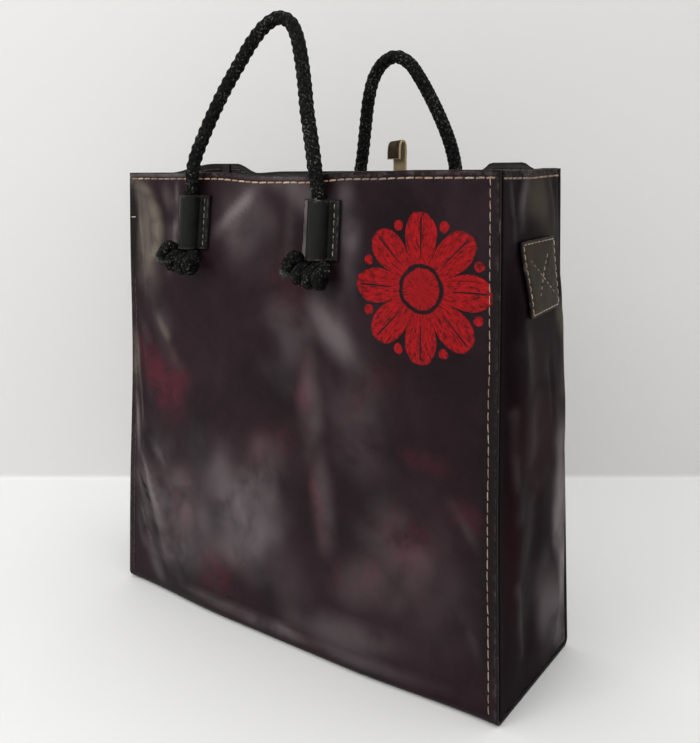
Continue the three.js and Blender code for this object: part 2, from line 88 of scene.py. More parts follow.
# The faces stay flat beside each seam. Beyond that their swell and their bow grow over these distances
SEAM_FLAT = 3.0
SWELL_FADE = 22.0
SWELL_FOOT = FOLD_RADIUS + 4
SWELL_FOOT_FADE = 26.0
BOW_FADE = 90.0
BOW_HEIGHT = 140.0
FACES = ("front", "back")
SIDES = ("left", "right")
OUT = {"front": -1, "back": 1}
ACROSS = {"left": -1, "right": 1}

Pull = namedtuple("Pull", "height reach pull")
EDGE_PULLS = {
    ("front", "left"): Pull(165, 70, 3),
    ("front", "right"): Pull(120, 80, 1),
    ("back", "left"): Pull(140, 80, 2),
    ("back", "right"): Pull(225, 60, 1.5),
}
Rise = namedtuple("Rise", "start end run rise")
RIM_RISES = {
    "front": [Rise(-62, 52, 40, -2.2), Rise(62, 190, 34, 0.8)],
    "back": [
        Rise(-190, -106, 22, 7.5),
        Rise(87, 124, 8, 4.9),
        Rise(-110, 150, 30, 1.2),
        Rise(112, 190, 26, 1.9),
    ],
}

Swell = namedtuple("Swell", "x z wide high rise")
SWELLS = {
    "front": [
        Swell(20, 95, 95, 70, 3.2),
        Swell(-20, 290, 50, 55, -2.2),
        Swell(92, 285, 40, 60, 1.8),
        Swell(-75, 175, 45, 50, -1.6),
    ],
    "back": [
        Swell(-15, 105, 100, 75, 3.4),
        Swell(25, 290, 50, 50, -1.2),
        Swell(-85, 270, 40, 60, 1.6),
        Swell(70, 180, 45, 55, -1.4),
    ],
}

# Creases run from (a0, z0) to (a1, z1), where a is x on the front and back and y on a gusset
Crease = namedtuple("Crease", "a0 z0 a1 z1 width rise")
CREASES = {
    "front": [
        Crease(-136, 296, -117, 262, 8, 2.4), Crease(-117, 262, -128, 226, 8, 2.2),
        Crease(-126, 226, -98, 175, 9, 1.8), Crease(-112, 294, -99, 252, 8, -1.6),
        Crease(-22, 296, -48, 262, 10, 1.8), Crease(30, 214, 56, 188, 11, 1.4),
        Crease(-138, 110, -104, 28, 7, 2.2), Crease(-126, 112, -95, 45, 7, -1.6),
        Crease(-70, 112, 10, 42, 16, 1.5), Crease(108, 128, 138, 106, 9, -1.2),
    ],
    "back": [
        Crease(134, 292, 112, 240, 9, 2), Crease(116, 236, 92, 180, 10, 1.5),
        Crease(-60, 292, -40, 250, 10, -1.6), Crease(-134, 120, -100, 40, 8, 1.8),
        Crease(60, 120, -20, 50, 16, 1.4),
    ],
    "left": [
        Crease(12, 302, 20, 276, 7, 1.5), Crease(20, 200, 8, 130, 9, 1.4),
        Crease(-22, 80, -16, 25, 9, 1.4),
    ],
    "right": [
        Crease(-12, 302, -21, 274, 6, 1.6), Crease(-26, 204, -18, 150, 9, 1.4),
        Crease(28, 70, 22, 20, 9, 1.6), Crease(-8, 110, -14, 30, 9, -1.2),
    ],
}

# Finer creases that only the finished surface carries
FINE_CREASES = {
    "front": [
        Crease(-141, 286, -128, 256, 3.2, 0.9), Crease(-127, 258, -133, 214, 3.4, -0.8),
        Crease(-139, 205, -126, 182, 3.0, 0.7), Crease(-134, 176, -129, 140, 4.2, -0.8),
        Crease(-142, 150, -133, 118, 3.0, 0.7), Crease(-141, 92, -122, 42, 3.0, 0.9),
        Crease(-133, 88, -112, 36, 2.8, -0.7), Crease(-124, 78, -104, 40, 3.0, 0.6),
        Crease(-142, 60, -132, 30, 2.6, 0.6), Crease(-96, 268, -104, 232, 3.4, 0.5),
        Crease(-60, 296, -55, 262, 3.6, -0.5), Crease(6, 292, 2, 250, 4.0, 0.5),
        Crease(52, 262, 44, 226, 3.6, 0.5), Crease(20, 232, 47, 200, 3.4, -0.5),
        Crease(36, 172, 22, 128, 4.2, 0.4), Crease(-48, 128, -12, 92, 4.4, -0.4),
        Crease(120, 118, 139, 96, 3.2, 0.6), Crease(126, 60, 141, 34, 3.2, 0.5),
        Crease(84, 62, 112, 36, 4.2, -0.4), Crease(130, 290, 122, 262, 3.4, -0.5),
    ],
    "back": [
        Crease(138, 250, 126, 212, 3.2, 0.7), Crease(140, 170, 128, 130, 3.4, -0.6),
        Crease(-138, 230, -124, 190, 3.4, 0.7), Crease(-140, 150, -131, 118, 3.0, 0.6),
        Crease(-136, 86, -116, 46, 3.0, 0.7), Crease(136, 80, 116, 40, 3.2, 0.7),
        Crease(-32, 240, -44, 214, 3.6, 0.5), Crease(44, 240, 62, 210, 3.6, -0.5),
        Crease(10, 170, -24, 128, 4.4, 0.4),
    ],
    "left": [
        Crease(-30, 286, -24, 266, 2.8, 0.5), Crease(34, 240, 30, 190, 3.4, 0.6),
        Crease(-34, 190, -28, 140, 3.2, -0.5), Crease(12, 110, 26, 60, 3.6, 0.5),
    ],
    "right": [
        Crease(-34, 292, -27, 262, 2.8, 0.6), Crease(20, 300, 27, 268, 3.0, 0.5),
        Crease(34, 214, 30, 168, 3.2, 0.6), Crease(-34, 170, -30, 110, 3.2, 0.6),
        Crease(12, 190, 20, 140, 4.0, -0.5), Crease(-30, 70, -22, 30, 3.2, 0.6),
    ],
}

# Slight random dents: their height, their cell and the seed that draws them
Dents = namedtuple("Dents", "rise cell seed")
FACE_DENTS = [Dents(0.45, 34, 3), Dents(0.2, 13, 4), Dents(0.08, 5, 5)]
GUSSET_DENTS = [Dents(0.35, 26, 7), Dents(0.16, 11, 8)]
# Depths of the pucker at the seams' stitches and of the groove above the rim's
PUCKER = 0.16
RIM_GROOVE = 0.3
RIM_GROOVE_ABOVE = 1.2

# How far each gusset bulges outwards in its front and back halves, against height
Bulge = namedtuple("Bulge", "z front back")
GUSSET_BULGE = {
    "right": [
        Bulge(0, 0, 0),
        Bulge(40, 2.2, 3),
        Bulge(110, 4.4, 4.8),
        Bulge(165, 5.6, 6.2),
        Bulge(222, 5, 6),
        Bulge(263, -0.4, 3.6),
        Bulge(310, -0.8, 2),
    ],
    "left": [
        Bulge(0, 0, 0),
        Bulge(40, 2.5, 3),
        Bulge(110, 4.5, 6),
        Bulge(180, 5.5, 7),
        Bulge(240, 3.5, 5.5),
        Bulge(310, 0.6, 2.5),
    ],
}
GUSSET_SHOULDER = {"front": 20.0, "back": 9.0}

PATCH_WIDTH = 44.0
PATCH_HEIGHT = 42.0
PATCH_LEATHER = 1.6
PATCH_CLEAR = 0.9
# How far a patch rises inside its edge, sinks at its stitches and at its cross, and the cross's reach
PATCH_QUILT = 0.35
PATCH_ROW_DEPTH = 0.22
PATCH_CROSS_DEPTH = 0.25
PATCH_CROSS_REACH = 11
Place = namedtuple("Place", "y z turn")
PATCH_PLACES = {"right": Place(0.5, 242, 0.04), "left": Place(-1, 243, -0.03)}

Tab = namedtuple("Tab", "name top_x bottom_x top_z bottom_z")
TABS = {
    "front": [
        Tab("left", -77.6, -80.2, 286, 249.5),
        Tab("right", 30.2, 28.6, 284.5, 248),
    ],
    "back": [
        Tab("left", -14.8, -17.5, 284.5, 248),
        Tab("right", 65.7, 67.5, 284, 247.5),
    ],
}
TAB_FLANGE = 8.0
TAB_CLEAR = 0.5
# How far across and up a tab calms the creases, and keeps the fine relief flat
TAB_CALM = (26, 38)
TAB_FLAT = (20, 30)
ROPE_DIAMETER = 8.6
ROPE_RADIUS = ROPE_DIAMETER / 2
ROPE_OFF = ROPE_RADIUS + TAB_CLEAR
STRAND_RISE = 0.45
TUNNEL_CLEAR = 0.8
TUNNEL_RADIUS = ROPE_RADIUS + TUNNEL_CLEAR + TRIM_LEATHER / 2

# Free arch of each rope handle, leaning in over the opening
ARCHES = {
    "front": [
        (-74.4, -52.9, 303), (-73.3, -50.9, 312), (-70.4, -48.3, 322), (-65.0, -44.5, 337),
        (-57.5, -40.2, 354), (-48.0, -36.0, 371), (-38.0, -32.0, 387), (-29.5, -29.9, 395.5),
        (-19.5, -29.0, 399.2), (-9.8, -29.9, 395.5), (-2.8, -32.0, 387), (4.4, -36.0, 371),
        (10.3, -40.2, 354), (15.6, -44.5, 337), (21.2, -48.3, 322), (24.9, -50.9, 312),
        (27.8, -52.9, 303),
    ],
    "back": [
        (-12.6, 53.0, 303), (-10.1, 51.7, 312), (-7.6, 50.2, 323), (-4.4, 48.2, 338), (-0.9, 46.3, 353),
        (4.9, 44.4, 367), (13.5, 43.2, 376.3), (24.0, 42.7, 379.4), (34.0, 43.5, 374.3),
        (42.2, 45.0, 363), (49.6, 46.8, 349.5), (56.0, 48.5, 336), (61.2, 50.2, 322.5), (63.8, 51.7, 312),
        (64.9, 53.0, 303),
    ],
}

# Stopper knots: the knot's barrel from the lower end of its tab, and its tail across, up and off
KNOT_BELOW = 8.9
KNOT_OFF = 10.8
KNOT_TURNS = 3.0
KNOT_TURN_RADIUS = 4.3
KNOT_ENDS = (11.4, -11.6)
KNOT_LIFT = 5.5
KNOT_SWELL = 1.2
KNOT_ROPE_RADIUS = 4.3
KNOT_TAIL = [(-15.0, -2.2, 13.6), (-17.4, -6.0, 13.2), (-18.8, -9.2, 12.4)]

# Closing strap: height, distance forward of the back's inner side and shift to the right
STRAP_WIDTH = 10.4
STRAP_X = 27.2
STRAP_CLEAR = 0.4
STRAP_RUN = [
    (266, 0, 0),
    (279, 0, 0),
    (291, 0, 0),
    (302, 0.1, 0.1),
    (311, 0.3, 0.3),
    (316.6, 0.4, 0.4),
    (319.9, 1, 0.3),
    (321.7, 2.6, 0.1),
    (321.4, 4.6, -0.2),
    (319.2, 5.9, -0.5),
    (314.8, 6.2, -0.8),
    (309.8, 5.9, -1),
]

# Heights of the rows down a seam. None show in the middle of the front's left border
SEAM_ROWS = [(FOLD_TOP + 1, HEIGHT - 2)]
BORDER_ROWS = [(FOLD_TOP + 1, 226.0), (290.0, HEIGHT - 2)]
# The tack across that border, from x to x at a height
TACK_RUN = (-143.6, -138.2)
TACK_HEIGHT = 269.4
# Where the rim's row changes how dark it is, and how dark it is before, between and after
RIM_ROW_SPLITS = (-90, 40)
RIM_ROW_SOIL = (0.45, 0.08, 0.5)
RIM_ROW_END = 2.5
# Rows that hold the patches and the strap
PATCH_ROW_INSET = 1.7
PATCH_CROSS = [((-15, 10.5), (14.5, -12)), ((-8.5, -11.5), (10.5, 12))]
STRAP_ROW = (269, 289)
STRAP_ROW_INSET = 2.2
# Loose yarns at a rope's end: how many, their lengths and their thickness at the root
WHISKERS = 150
WHISKER_LENGTHS = (1.6, 3.6)
WHISKER_RADIUS = 0.16
# Petals of the painted rosette
PETALS = 8

# Marks of dye and of painted light and shade: middle, half sizes, turn in degrees and strength. The
# middle is given by x and height on the front and back, and by y and height on a gusset. Burgundy
# marks are dye; bloom marks are wax bloom with painted sheen and highlights; olive marks are painted
# olive-grey reflections; dark marks are painted shade
Mark = namedtuple("Mark", "a z wide high turn strength")
MARKS = {
    "burgundy": {
        "front": [
            Mark(-118, 156, 11, 22, 18, 1.0), Mark(-98, 150, 10, 20, 8, 0.85),
            Mark(-128, 172, 8, 14, 0, 0.6), Mark(18, 168, 7, 22, 4, 0.75), Mark(28, 106, 7, 17, 6, 0.7),
            Mark(34, 84, 5, 12, 10, 0.5), Mark(102, 138, 15, 6, -8, 0.4), Mark(92, 86, 16, 20, 12, 0.6),
            Mark(70, 64, 22, 12, 20, 0.45), Mark(-54, 34, 20, 18, 30, 0.6),
            Mark(-90, 70, 12, 26, 12, 0.45), Mark(130, 113, 12, 8, -30, 0.4),
            Mark(-10, 128, 26, 12, 35, 0.35), Mark(66, 176, 26, 10, 40, 0.3),
            Mark(4, 230, 18, 22, 0, 0.3),
        ],
        "back": [
            Mark(88, 150, 20, 24, 10, 0.8), Mark(-70, 190, 12, 30, -8, 0.6),
            Mark(-106, 92, 16, 26, 12, 0.7), Mark(24, 80, 26, 14, -24, 0.5),
            Mark(-20, 220, 22, 12, 30, 0.35), Mark(116, 238, 10, 22, 0, 0.5),
        ],
        "right": [Mark(-6, 150, 24, 50, 0, 0.16), Mark(-34, 90, 8, 40, 0, 0.15)],
        "left": [Mark(10, 160, 22, 40, 10, 0.4), Mark(-20, 70, 14, 26, 0, 0.3)],
    },
    # Wax bloom with painted sheen and highlights where the leather catches the light
    "bloom": {
        "front": [
            Mark(-32, 82, 44, 30, 42, 0.95), Mark(56, 24, 42, 12, 8, 0.55),
            Mark(-40, 277.6, 25, 5, 39, 1.3), Mark(-34, 268, 22, 30, 10, 0.4),
            Mark(-104, 280, 11, 5, -60, 0.9), Mark(-98, 262, 9, 20, 8, 0.6), Mark(48, 266, 8, 26, 6, 0.7),
            Mark(37, 211, 11, 28, 30, 0.8), Mark(60, 150, 18, 34, 14, 0.35),
            Mark(-74, 60, 26, 30, 36, 0.45), Mark(6, 196, 20, 26, 20, 0.4), Mark(112, 60, 20, 30, 0, 0.2),
            Mark(-124.4, 76.9, 25, 2.6, -61, 2.2), Mark(-130.8, 46.1, 20, 1.8, -65, 1.5),
            Mark(-117, 99.4, 15, 5, -44, 1.0), Mark(-138.7, 122, 21, 1.9, -88, 1.9),
            Mark(-135.5, 152, 26, 0.9, -85, 0.9), Mark(-133, 262, 34, 0.8, -86, 0.8),
            Mark(-105, 30, 20, 8, -50, 0.75), Mark(-122, 24, 20, 6, -60, 0.7),
            Mark(-92, 84, 24, 12, -25, 0.7), Mark(-104, 60, 30, 44, 20, 0.8),
            Mark(88, 84, 26, 28, 12, 0.45), Mark(70, 60, 30, 20, 20, 0.35), Mark(34, 98, 9, 28, 8, 0.45),
            Mark(22, 166, 9, 26, 6, 0.45), Mark(-118, 299.5, 34, 2.6, 0, 1.1),
            Mark(-98, 268.7, 20, 2.6, -96, 2.0), Mark(20.1, 271.3, 16, 1.6, -94, 1.0),
            Mark(12, 288, 30, 10, -20, 0.6), Mark(-66, 11, 40, 4, 0, 0.6), Mark(-10, 9, 46, 4, 0, 0.9),
            Mark(60, 10, 40, 5, 0, 0.5),
        ],
        "back": [
            Mark(20, 120, 46, 34, -36, 0.8), Mark(-52, 258, 22, 26, -10, 0.6),
            Mark(100, 262, 12, 26, 12, 0.5), Mark(-60, 50, 40, 16, 10, 0.5),
            Mark(72, 40, 36, 18, -12, 0.4),
        ],
        "right": [
            Mark(34, 74, 11, 80, 4, 1.5), Mark(18, 40, 16, 34, 32, 0.8), Mark(-17, 288, 15, 3.5, 72, 0.5),
            Mark(46, 80, 4.5, 90, 0, 1.6),
        ],
        "left": [Mark(-30, 90, 12, 60, 0, 0.6), Mark(16, 280, 10, 22, -10, 0.5)],
    },
    # Painted olive-grey reflections in the gloss
    "olive": {
        "front": [
            Mark(-131, 290, 12, 4, -28, 0.8), Mark(-119, 277, 11, 4.5, -54, 0.9),
            Mark(-113.5, 260, 3.6, 11, 0, 1.0), Mark(-118, 246, 9, 3.6, 55, 0.9),
            Mark(-127, 256, 10, 34, 6, 0.5), Mark(-127, 238, 7, 18, -3, 0.6),
            Mark(-139.5, 168, 3, 22, 2, 0.7), Mark(-107, 188, 24, 3.4, -60, 0.45),
        ],
        "right": [
            Mark(6, 286, 18, 18, 20, 0.28), Mark(22, 256, 14, 24, 0, 0.16), Mark(34, 214, 9, 12, 0, 0.6),
        ],
        "left": [Mark(-10, 284, 20, 18, -14, 0.5)],
    },
    # Painted shade: along the front's left border where it bends back, in a crease low on the left, and along
    # the right border
    "dark": {
        "front": [
            Mark(-141, 258, 4.2, 34, 0, 1.5), Mark(-128.3, 68, 16, 1.1, -59, 1.2),
            Mark(143.5, 150, 4.5, 170, 0, 0.75),
        ]
    },
}

# The photograph's camera, in millimetres and degrees
CAMERA_PLACE = (332.5, -444.7, 298.0)
CAMERA_PITCH = 5.0
CAMERA_YAW = 35.46
CAMERA_LENS = 40.35
CAMERA_SHIFT = -0.164

# Soft lights: place by the photograph's view, size across in metres, and what they face
KEY_PLACE = (-620, -560, 820)
KEY_SIZE = 0.55
KEY_AIM = (0.0, 0.0, 150.0)
TOP_PLACE = (60, 60, 1250)
TOP_SIZE = 0.9
TOP_AIM = (0.0, 0.0, 0.0)

# Reach of the floor from the camera, backwards, beyond the backdrop and to each side, and the
# backdrop's height
FLOOR_BACK = -1500.0
FLOOR_BEYOND = 2600.0
FLOOR_SIDE = 2200.0
BACKDROP_HEIGHT = 1500.0


# Small helpers


def mix(a, b, t):
    """The value t of the way from a to b."""
    return a + (b - a) * t


def smooth(t):
    """An eased step: 0 below 0, 1 above 1, 3t^2 - 2t^3 between."""
    t = np.clip(t, 0.0, 1.0)
    return t * t * (3 - 2 * t)


def hill(t):
    """A bell curve, 1 at 0."""
    return np.exp(-np.square(t))


def unit(v):
    """Vectors scaled to length 1."""
    return v / np.maximum(np.linalg.norm(v, axis=-1, keepdims=True), 1e-12)


def stack(x, y, z):
    """Points from three arrays or numbers."""
    return np.stack(np.broadcast_arrays(x, y, z), axis=-1).astype(float)


def eased(rows, key, z):
    """Value of a table's column at a height, eased between its rows."""
    heights = np.array([row.z for row in rows], float)
    values = np.array([getattr(row, key) for row in rows], float)
    low = np.clip(np.searchsorted(heights, z) - 1, 0, len(heights) - 2)
    t = (z - heights[low]) / (heights[low + 1] - heights[low])
    return mix(values[low], values[low + 1], smooth(t))


def ridge(a, z, crease):
    """A soft ridge: a bell across a straight run."""
    da, dz = crease.a1 - crease.a0, crease.z1 - crease.z0
    t = np.clip(((a - crease.a0) * da + (z - crease.z0) * dz) / (da * da + dz * dz), 0, 1)
    away = np.hypot(a - crease.a0 - da * t, z - crease.z0 - dz * t)
    return crease.rise * hill(away / crease.width)


def waves(a, b, cell, seed):
    """Soft random undulation from -1 to 1: a lattice of random heights, eased between its points."""
    table = np.random.default_rng(seed).uniform(-1, 1, (64, 64))
    ca, cb = a / cell, b / cell
    ia, ib = np.floor(ca).astype(int), np.floor(cb).astype(int)
    ta, tb = smooth(ca - ia), smooth(cb - ib)

    def at(i, j):
        return table[(ia + i) % 64, (ib + j) % 64]

    return mix(mix(at(0, 0), at(1, 0), ta), mix(at(0, 1), at(1, 1), ta), tb)


def spline(points, step):
    """A centripetal Catmull-Rom curve through the points, sampled about every step."""
    p = np.array(points, float)
    p = np.concatenate([[2 * p[0] - p[1]], p, [2 * p[-1] - p[-2]]])
    pieces = []
    for i in range(1, len(p) - 2):
        p0, p1, p2, p3 = p[i - 1 : i + 3]
        t1 = np.sqrt(np.linalg.norm(p1 - p0))
        t2 = t1 + np.sqrt(np.linalg.norm(p2 - p1))
        t3 = t2 + np.sqrt(np.linalg.norm(p3 - p2))
        t = np.linspace(t1, t2, 12, endpoint=False)[:, None]
        a1 = mix(p0, p1, t / t1)
        a2 = mix(p1, p2, (t - t1) / (t2 - t1))
        a3 = mix(p2, p3, (t - t2) / (t3 - t2))
        b1 = mix(a1, a2, t / t2)
        b2 = mix(a2, a3, (t - t1) / (t3 - t1))
        pieces.append(mix(b1, b2, (t - t1) / (t2 - t1)))
    return evenly(np.concatenate(pieces + [p[-2:-1]]), step)


def run_along(line):
    """Distance along a line at each of its points."""
    return np.concatenate([[0], np.cumsum(np.linalg.norm(np.diff(line, axis=0), axis=1))])


def evenly(line, step):
    """The line again with points evenly spaced, about step apart."""
    along = run_along(line)
    at = np.linspace(0, along[-1], max(3, int(round(along[-1] / step)) + 1))
    return np.stack([np.interp(at, along, line[:, k]) for k in range(line.shape[1])], axis=1)


# Shape of the body and the gussets


def half_depth(z):
    """Half the distance between the middles of the front and back at a height."""
    return mix(BASE_DEPTH, RIM_DEPTH, z / HEIGHT) / 2 - LEATHER / 2


def rim_height(face, x):
    """Height of the rim: level, with raised stretches."""
    z = np.full_like(np.asarray(x, float), HEIGHT)
    for row in RIM_RISES[face]:
        z = z + row.rise * smooth((x - row.start) / row.run) * smooth((row.end - x) / row.run)
    return z


def edge_x(face, side, z):
    """Distance from the middle to the outer edge of the border, drawn in by a bell."""
    row = EDGE_PULLS[face, side]
    x = mix(BASE_HALF_WIDTH, RIM_HALF_WIDTH[face][side], z / HEIGHT)
    return x - row.pull * hill((z - row.height) / row.reach)


def seam_x(face, side, z):
    """Distance from the middle to the seam."""
    return edge_x(face, side, z) - BORDER


def near_tab(tab, x, z, reach):
    """1 in the middle of a tab, fading to 0 round it by a bell."""
    middle_x, middle_z = (tab.top_x + tab.bottom_x) / 2, (tab.top_z + tab.bottom_z) / 2
    return hill((x - middle_x) / reach[0]) * hill((z - middle_z) / reach[1])


def seam_distance(face, x, z):
    """Distance inwards from the nearer seam of a face."""
    seam = np.where(x < 0, seam_x(face, "left", z), seam_x(face, "right", z))
    return seam - np.abs(x)


def swell(face, x, z):
    """How far the face stands out of its flat plane: broad bells, and soft ridges that fade beside the
    tabs. Both fade to the seams and the fold."""
    from_seam = smooth((seam_distance(face, x, z) - SEAM_FLAT) / SWELL_FADE)
    from_fold = smooth((z - SWELL_FOOT) / SWELL_FOOT_FADE)
    broad = sum(
        row.rise * hill((x - row.x) / row.wide) * hill((z - row.z) / row.high) for row in SWELLS[face]
    )
    fine = sum(ridge(x, z, row) for row in CREASES[face])
    for tab in TABS[face]:
        fine = fine * (1 - near_tab(tab, x, z, TAB_CALM))
    return (broad + fine) * from_seam * from_fold


def dented(height, a, b, rows):
    """A height with random dents added."""
    for row in rows:
        height = height + row.rise * waves(a, b, row.cell, row.seed)
    return height


def relief(face, x, z):
    """Fine creases and slight dents, faded beside the tabs, with the pucker between the seams' stitches
    and the rim's groove."""
    size = bpy.context.scene.tote_sizes
    inwards = seam_distance(face, x, z)
    clear = smooth((inwards - 1) / 9) * smooth((z - FOLD_TOP) / 16)
    near = np.maximum.reduce([near_tab(tab, x, z, TAB_FLAT) for tab in TABS[face]])
    clear = clear * (1 - smooth(2 * near))
    height = dented(sum(ridge(x, z, row) for row in FINE_CREASES[face]), x, z, FACE_DENTS)
    pitch = size.seam_pitch / MM
    pucker = PUCKER * np.cos(2 * math.pi * z / pitch) * hill((inwards - 2) / 5) * smooth((z - 14) / 10)
    return size.crease_depth * (height * clear + pucker) - RIM_GROOVE * rim_groove(face, x, z)


def bow(face, x, z):
    """How far the foot of a face bows out, fading to the seams and upwards."""
    from_seam = smooth((seam_distance(face, x, z) - SEAM_FLAT) / BOW_FADE)
    return BASE_BOW[face] * from_seam * (1 - smooth(z / BOW_HEIGHT))


def face_point(face, x, z):
    """Middle of the leather on the front or back, without its fine relief."""
    return stack(x, OUT[face] * (half_depth(z) + bow(face, x, z) + swell(face, x, z)), z)


def surface_point(face, x, z):
    """Middle of the leather on the front or back, with its fine relief along Y."""
    points = face_point(face, x, z)
    points[..., 1] += OUT[face] * relief(face, x, z)
    return points


def off_face(face, x, z, off):
    """A point a given distance off the outer side of the front or back."""
    x, z = np.asarray(x, float), np.asarray(z, float)
    return face_point(face, x, z) + stack(0.0, OUT[face] * (LEATHER / 2 + off), 0.0 * z)


def column_x(face, u, z):
    """Column u at a height: -1 and 1 are the seams, -2 and 2 the edges."""
    reach = np.abs(u)
    inner = u * np.where(u < 0, seam_x(face, "left", z), seam_x(face, "right", z))
    outer = np.where(
        u < 0,
        -mix(seam_x(face, "left", z), edge_x(face, "left", z), reach - 1),
        mix(seam_x(face, "right", z), edge_x(face, "right", z), reach - 1),
    )
    return np.where(reach <= 1, inner, outer)


def foot_depth(face, x):
    """Distance from the middle of the base to where it turns up into a face."""
    return half_depth(FOLD_TOP) + bow(face, x, FOLD_TOP) - FOLD_RADIUS


def gusset_half_width(z):
    """Half the width of a gusset's panel, to where it turns into its flange."""
    return half_depth(z) - FLANGE_INSET - BEND_RADIUS


def gusset_x(side, y, z):
    """Middle of the gusset's leather: distance outwards along X."""
    size = bpy.context.scene.tote_sizes
    half = gusset_half_width(z)
    t = smooth((y / half + 1) / 2)
    base = mix(edge_x("front", side, z), edge_x("back", side, z), t) - PANEL_INSET
    inwards = half - np.abs(y)
    rows = GUSSET_BULGE[side]
    out = mix(eased(rows, "front", z), eased(rows, "back", z), smooth((y + 25) / 50))
    out = out * smooth(inwards / np.where(y < 0, GUSSET_SHOULDER["front"], GUSSET_SHOULDER["back"]))
    inner = smooth(inwards / 12) * smooth((z - 6) / 30)
    out = out + inner * sum(ridge(y, z, row) for row in CREASES[side])
    place = PATCH_PLACES[side]
    beside_patch = 1 - smooth(1.6 * hill((y - place.y) / 34) * hill((z - place.z) / 32))
    fine = dented(sum(ridge(y, z, row) for row in FINE_CREASES[side]), y, z, GUSSET_DENTS)
    return base + out + size.crease_depth * fine * inner * beside_patch


def gusset_point(side, y, z):
    """A point in the middle of the gusset's leather."""
    return stack(ACROSS[side] * gusset_x(side, y, z), y, z)


def gusset_rim(side, y):
    """Height of the gusset's rim, eased from the front's to the back's."""
    sign = ACROSS[side]
    front = rim_height("front", sign * seam_x("front", side, HEIGHT))
    back = rim_height("back", sign * seam_x("back", side, HEIGHT))
    return mix(front, back, smooth((y + 12) / 52))


def off_gusset(side, y, z, off):
    """A point a given distance off the outer side of a gusset, along its own normal."""
    step = 2.0
    along_y = gusset_point(side, y + step, z) - gusset_point(side, y - step, z)
    along_z = gusset_point(side, y, z + step) - gusset_point(side, y, z - step)
    normal = ACROSS[side] * unit(np.cross(along_y, along_z))
    return gusset_point(side, y, z) + normal * (LEATHER / 2 + np.asarray(off)[..., None])


# Meshes from arrays


def grid_faces(rows, columns, around=False):
    """Quads of a grid of points, row by row. around joins the last column to the first."""
    i = np.arange(rows - 1)[:, None]
    j = np.arange(columns if around else columns - 1)[None, :]
    k = (j + 1) % columns
    above, below = i * columns, (i + 1) * columns
    quads = np.broadcast_arrays(above + j, below + j, below + k, above + k)
    return np.stack(quads, axis=-1).reshape(-1, 4)


def weld(points, faces):
    """Points that lie together become one."""
    _, first, index = np.unique(np.round(points, 3), axis=0, return_index=True, return_inverse=True)
    return points[first], index.reshape(-1)[faces], first


def vertex_normals(points, faces):
    """Area-weighted normals: each quad adds the cross product of its diagonals to its corners."""
    across = points[faces[:, 2]] - points[faces[:, 0]]
    down = points[faces[:, 3]] - points[faces[:, 1]]
    normal = np.cross(across, down)
    total = np.zeros_like(points)
    for corner in range(4):
        np.add.at(total, faces[:, corner], normal)
    return unit(total)


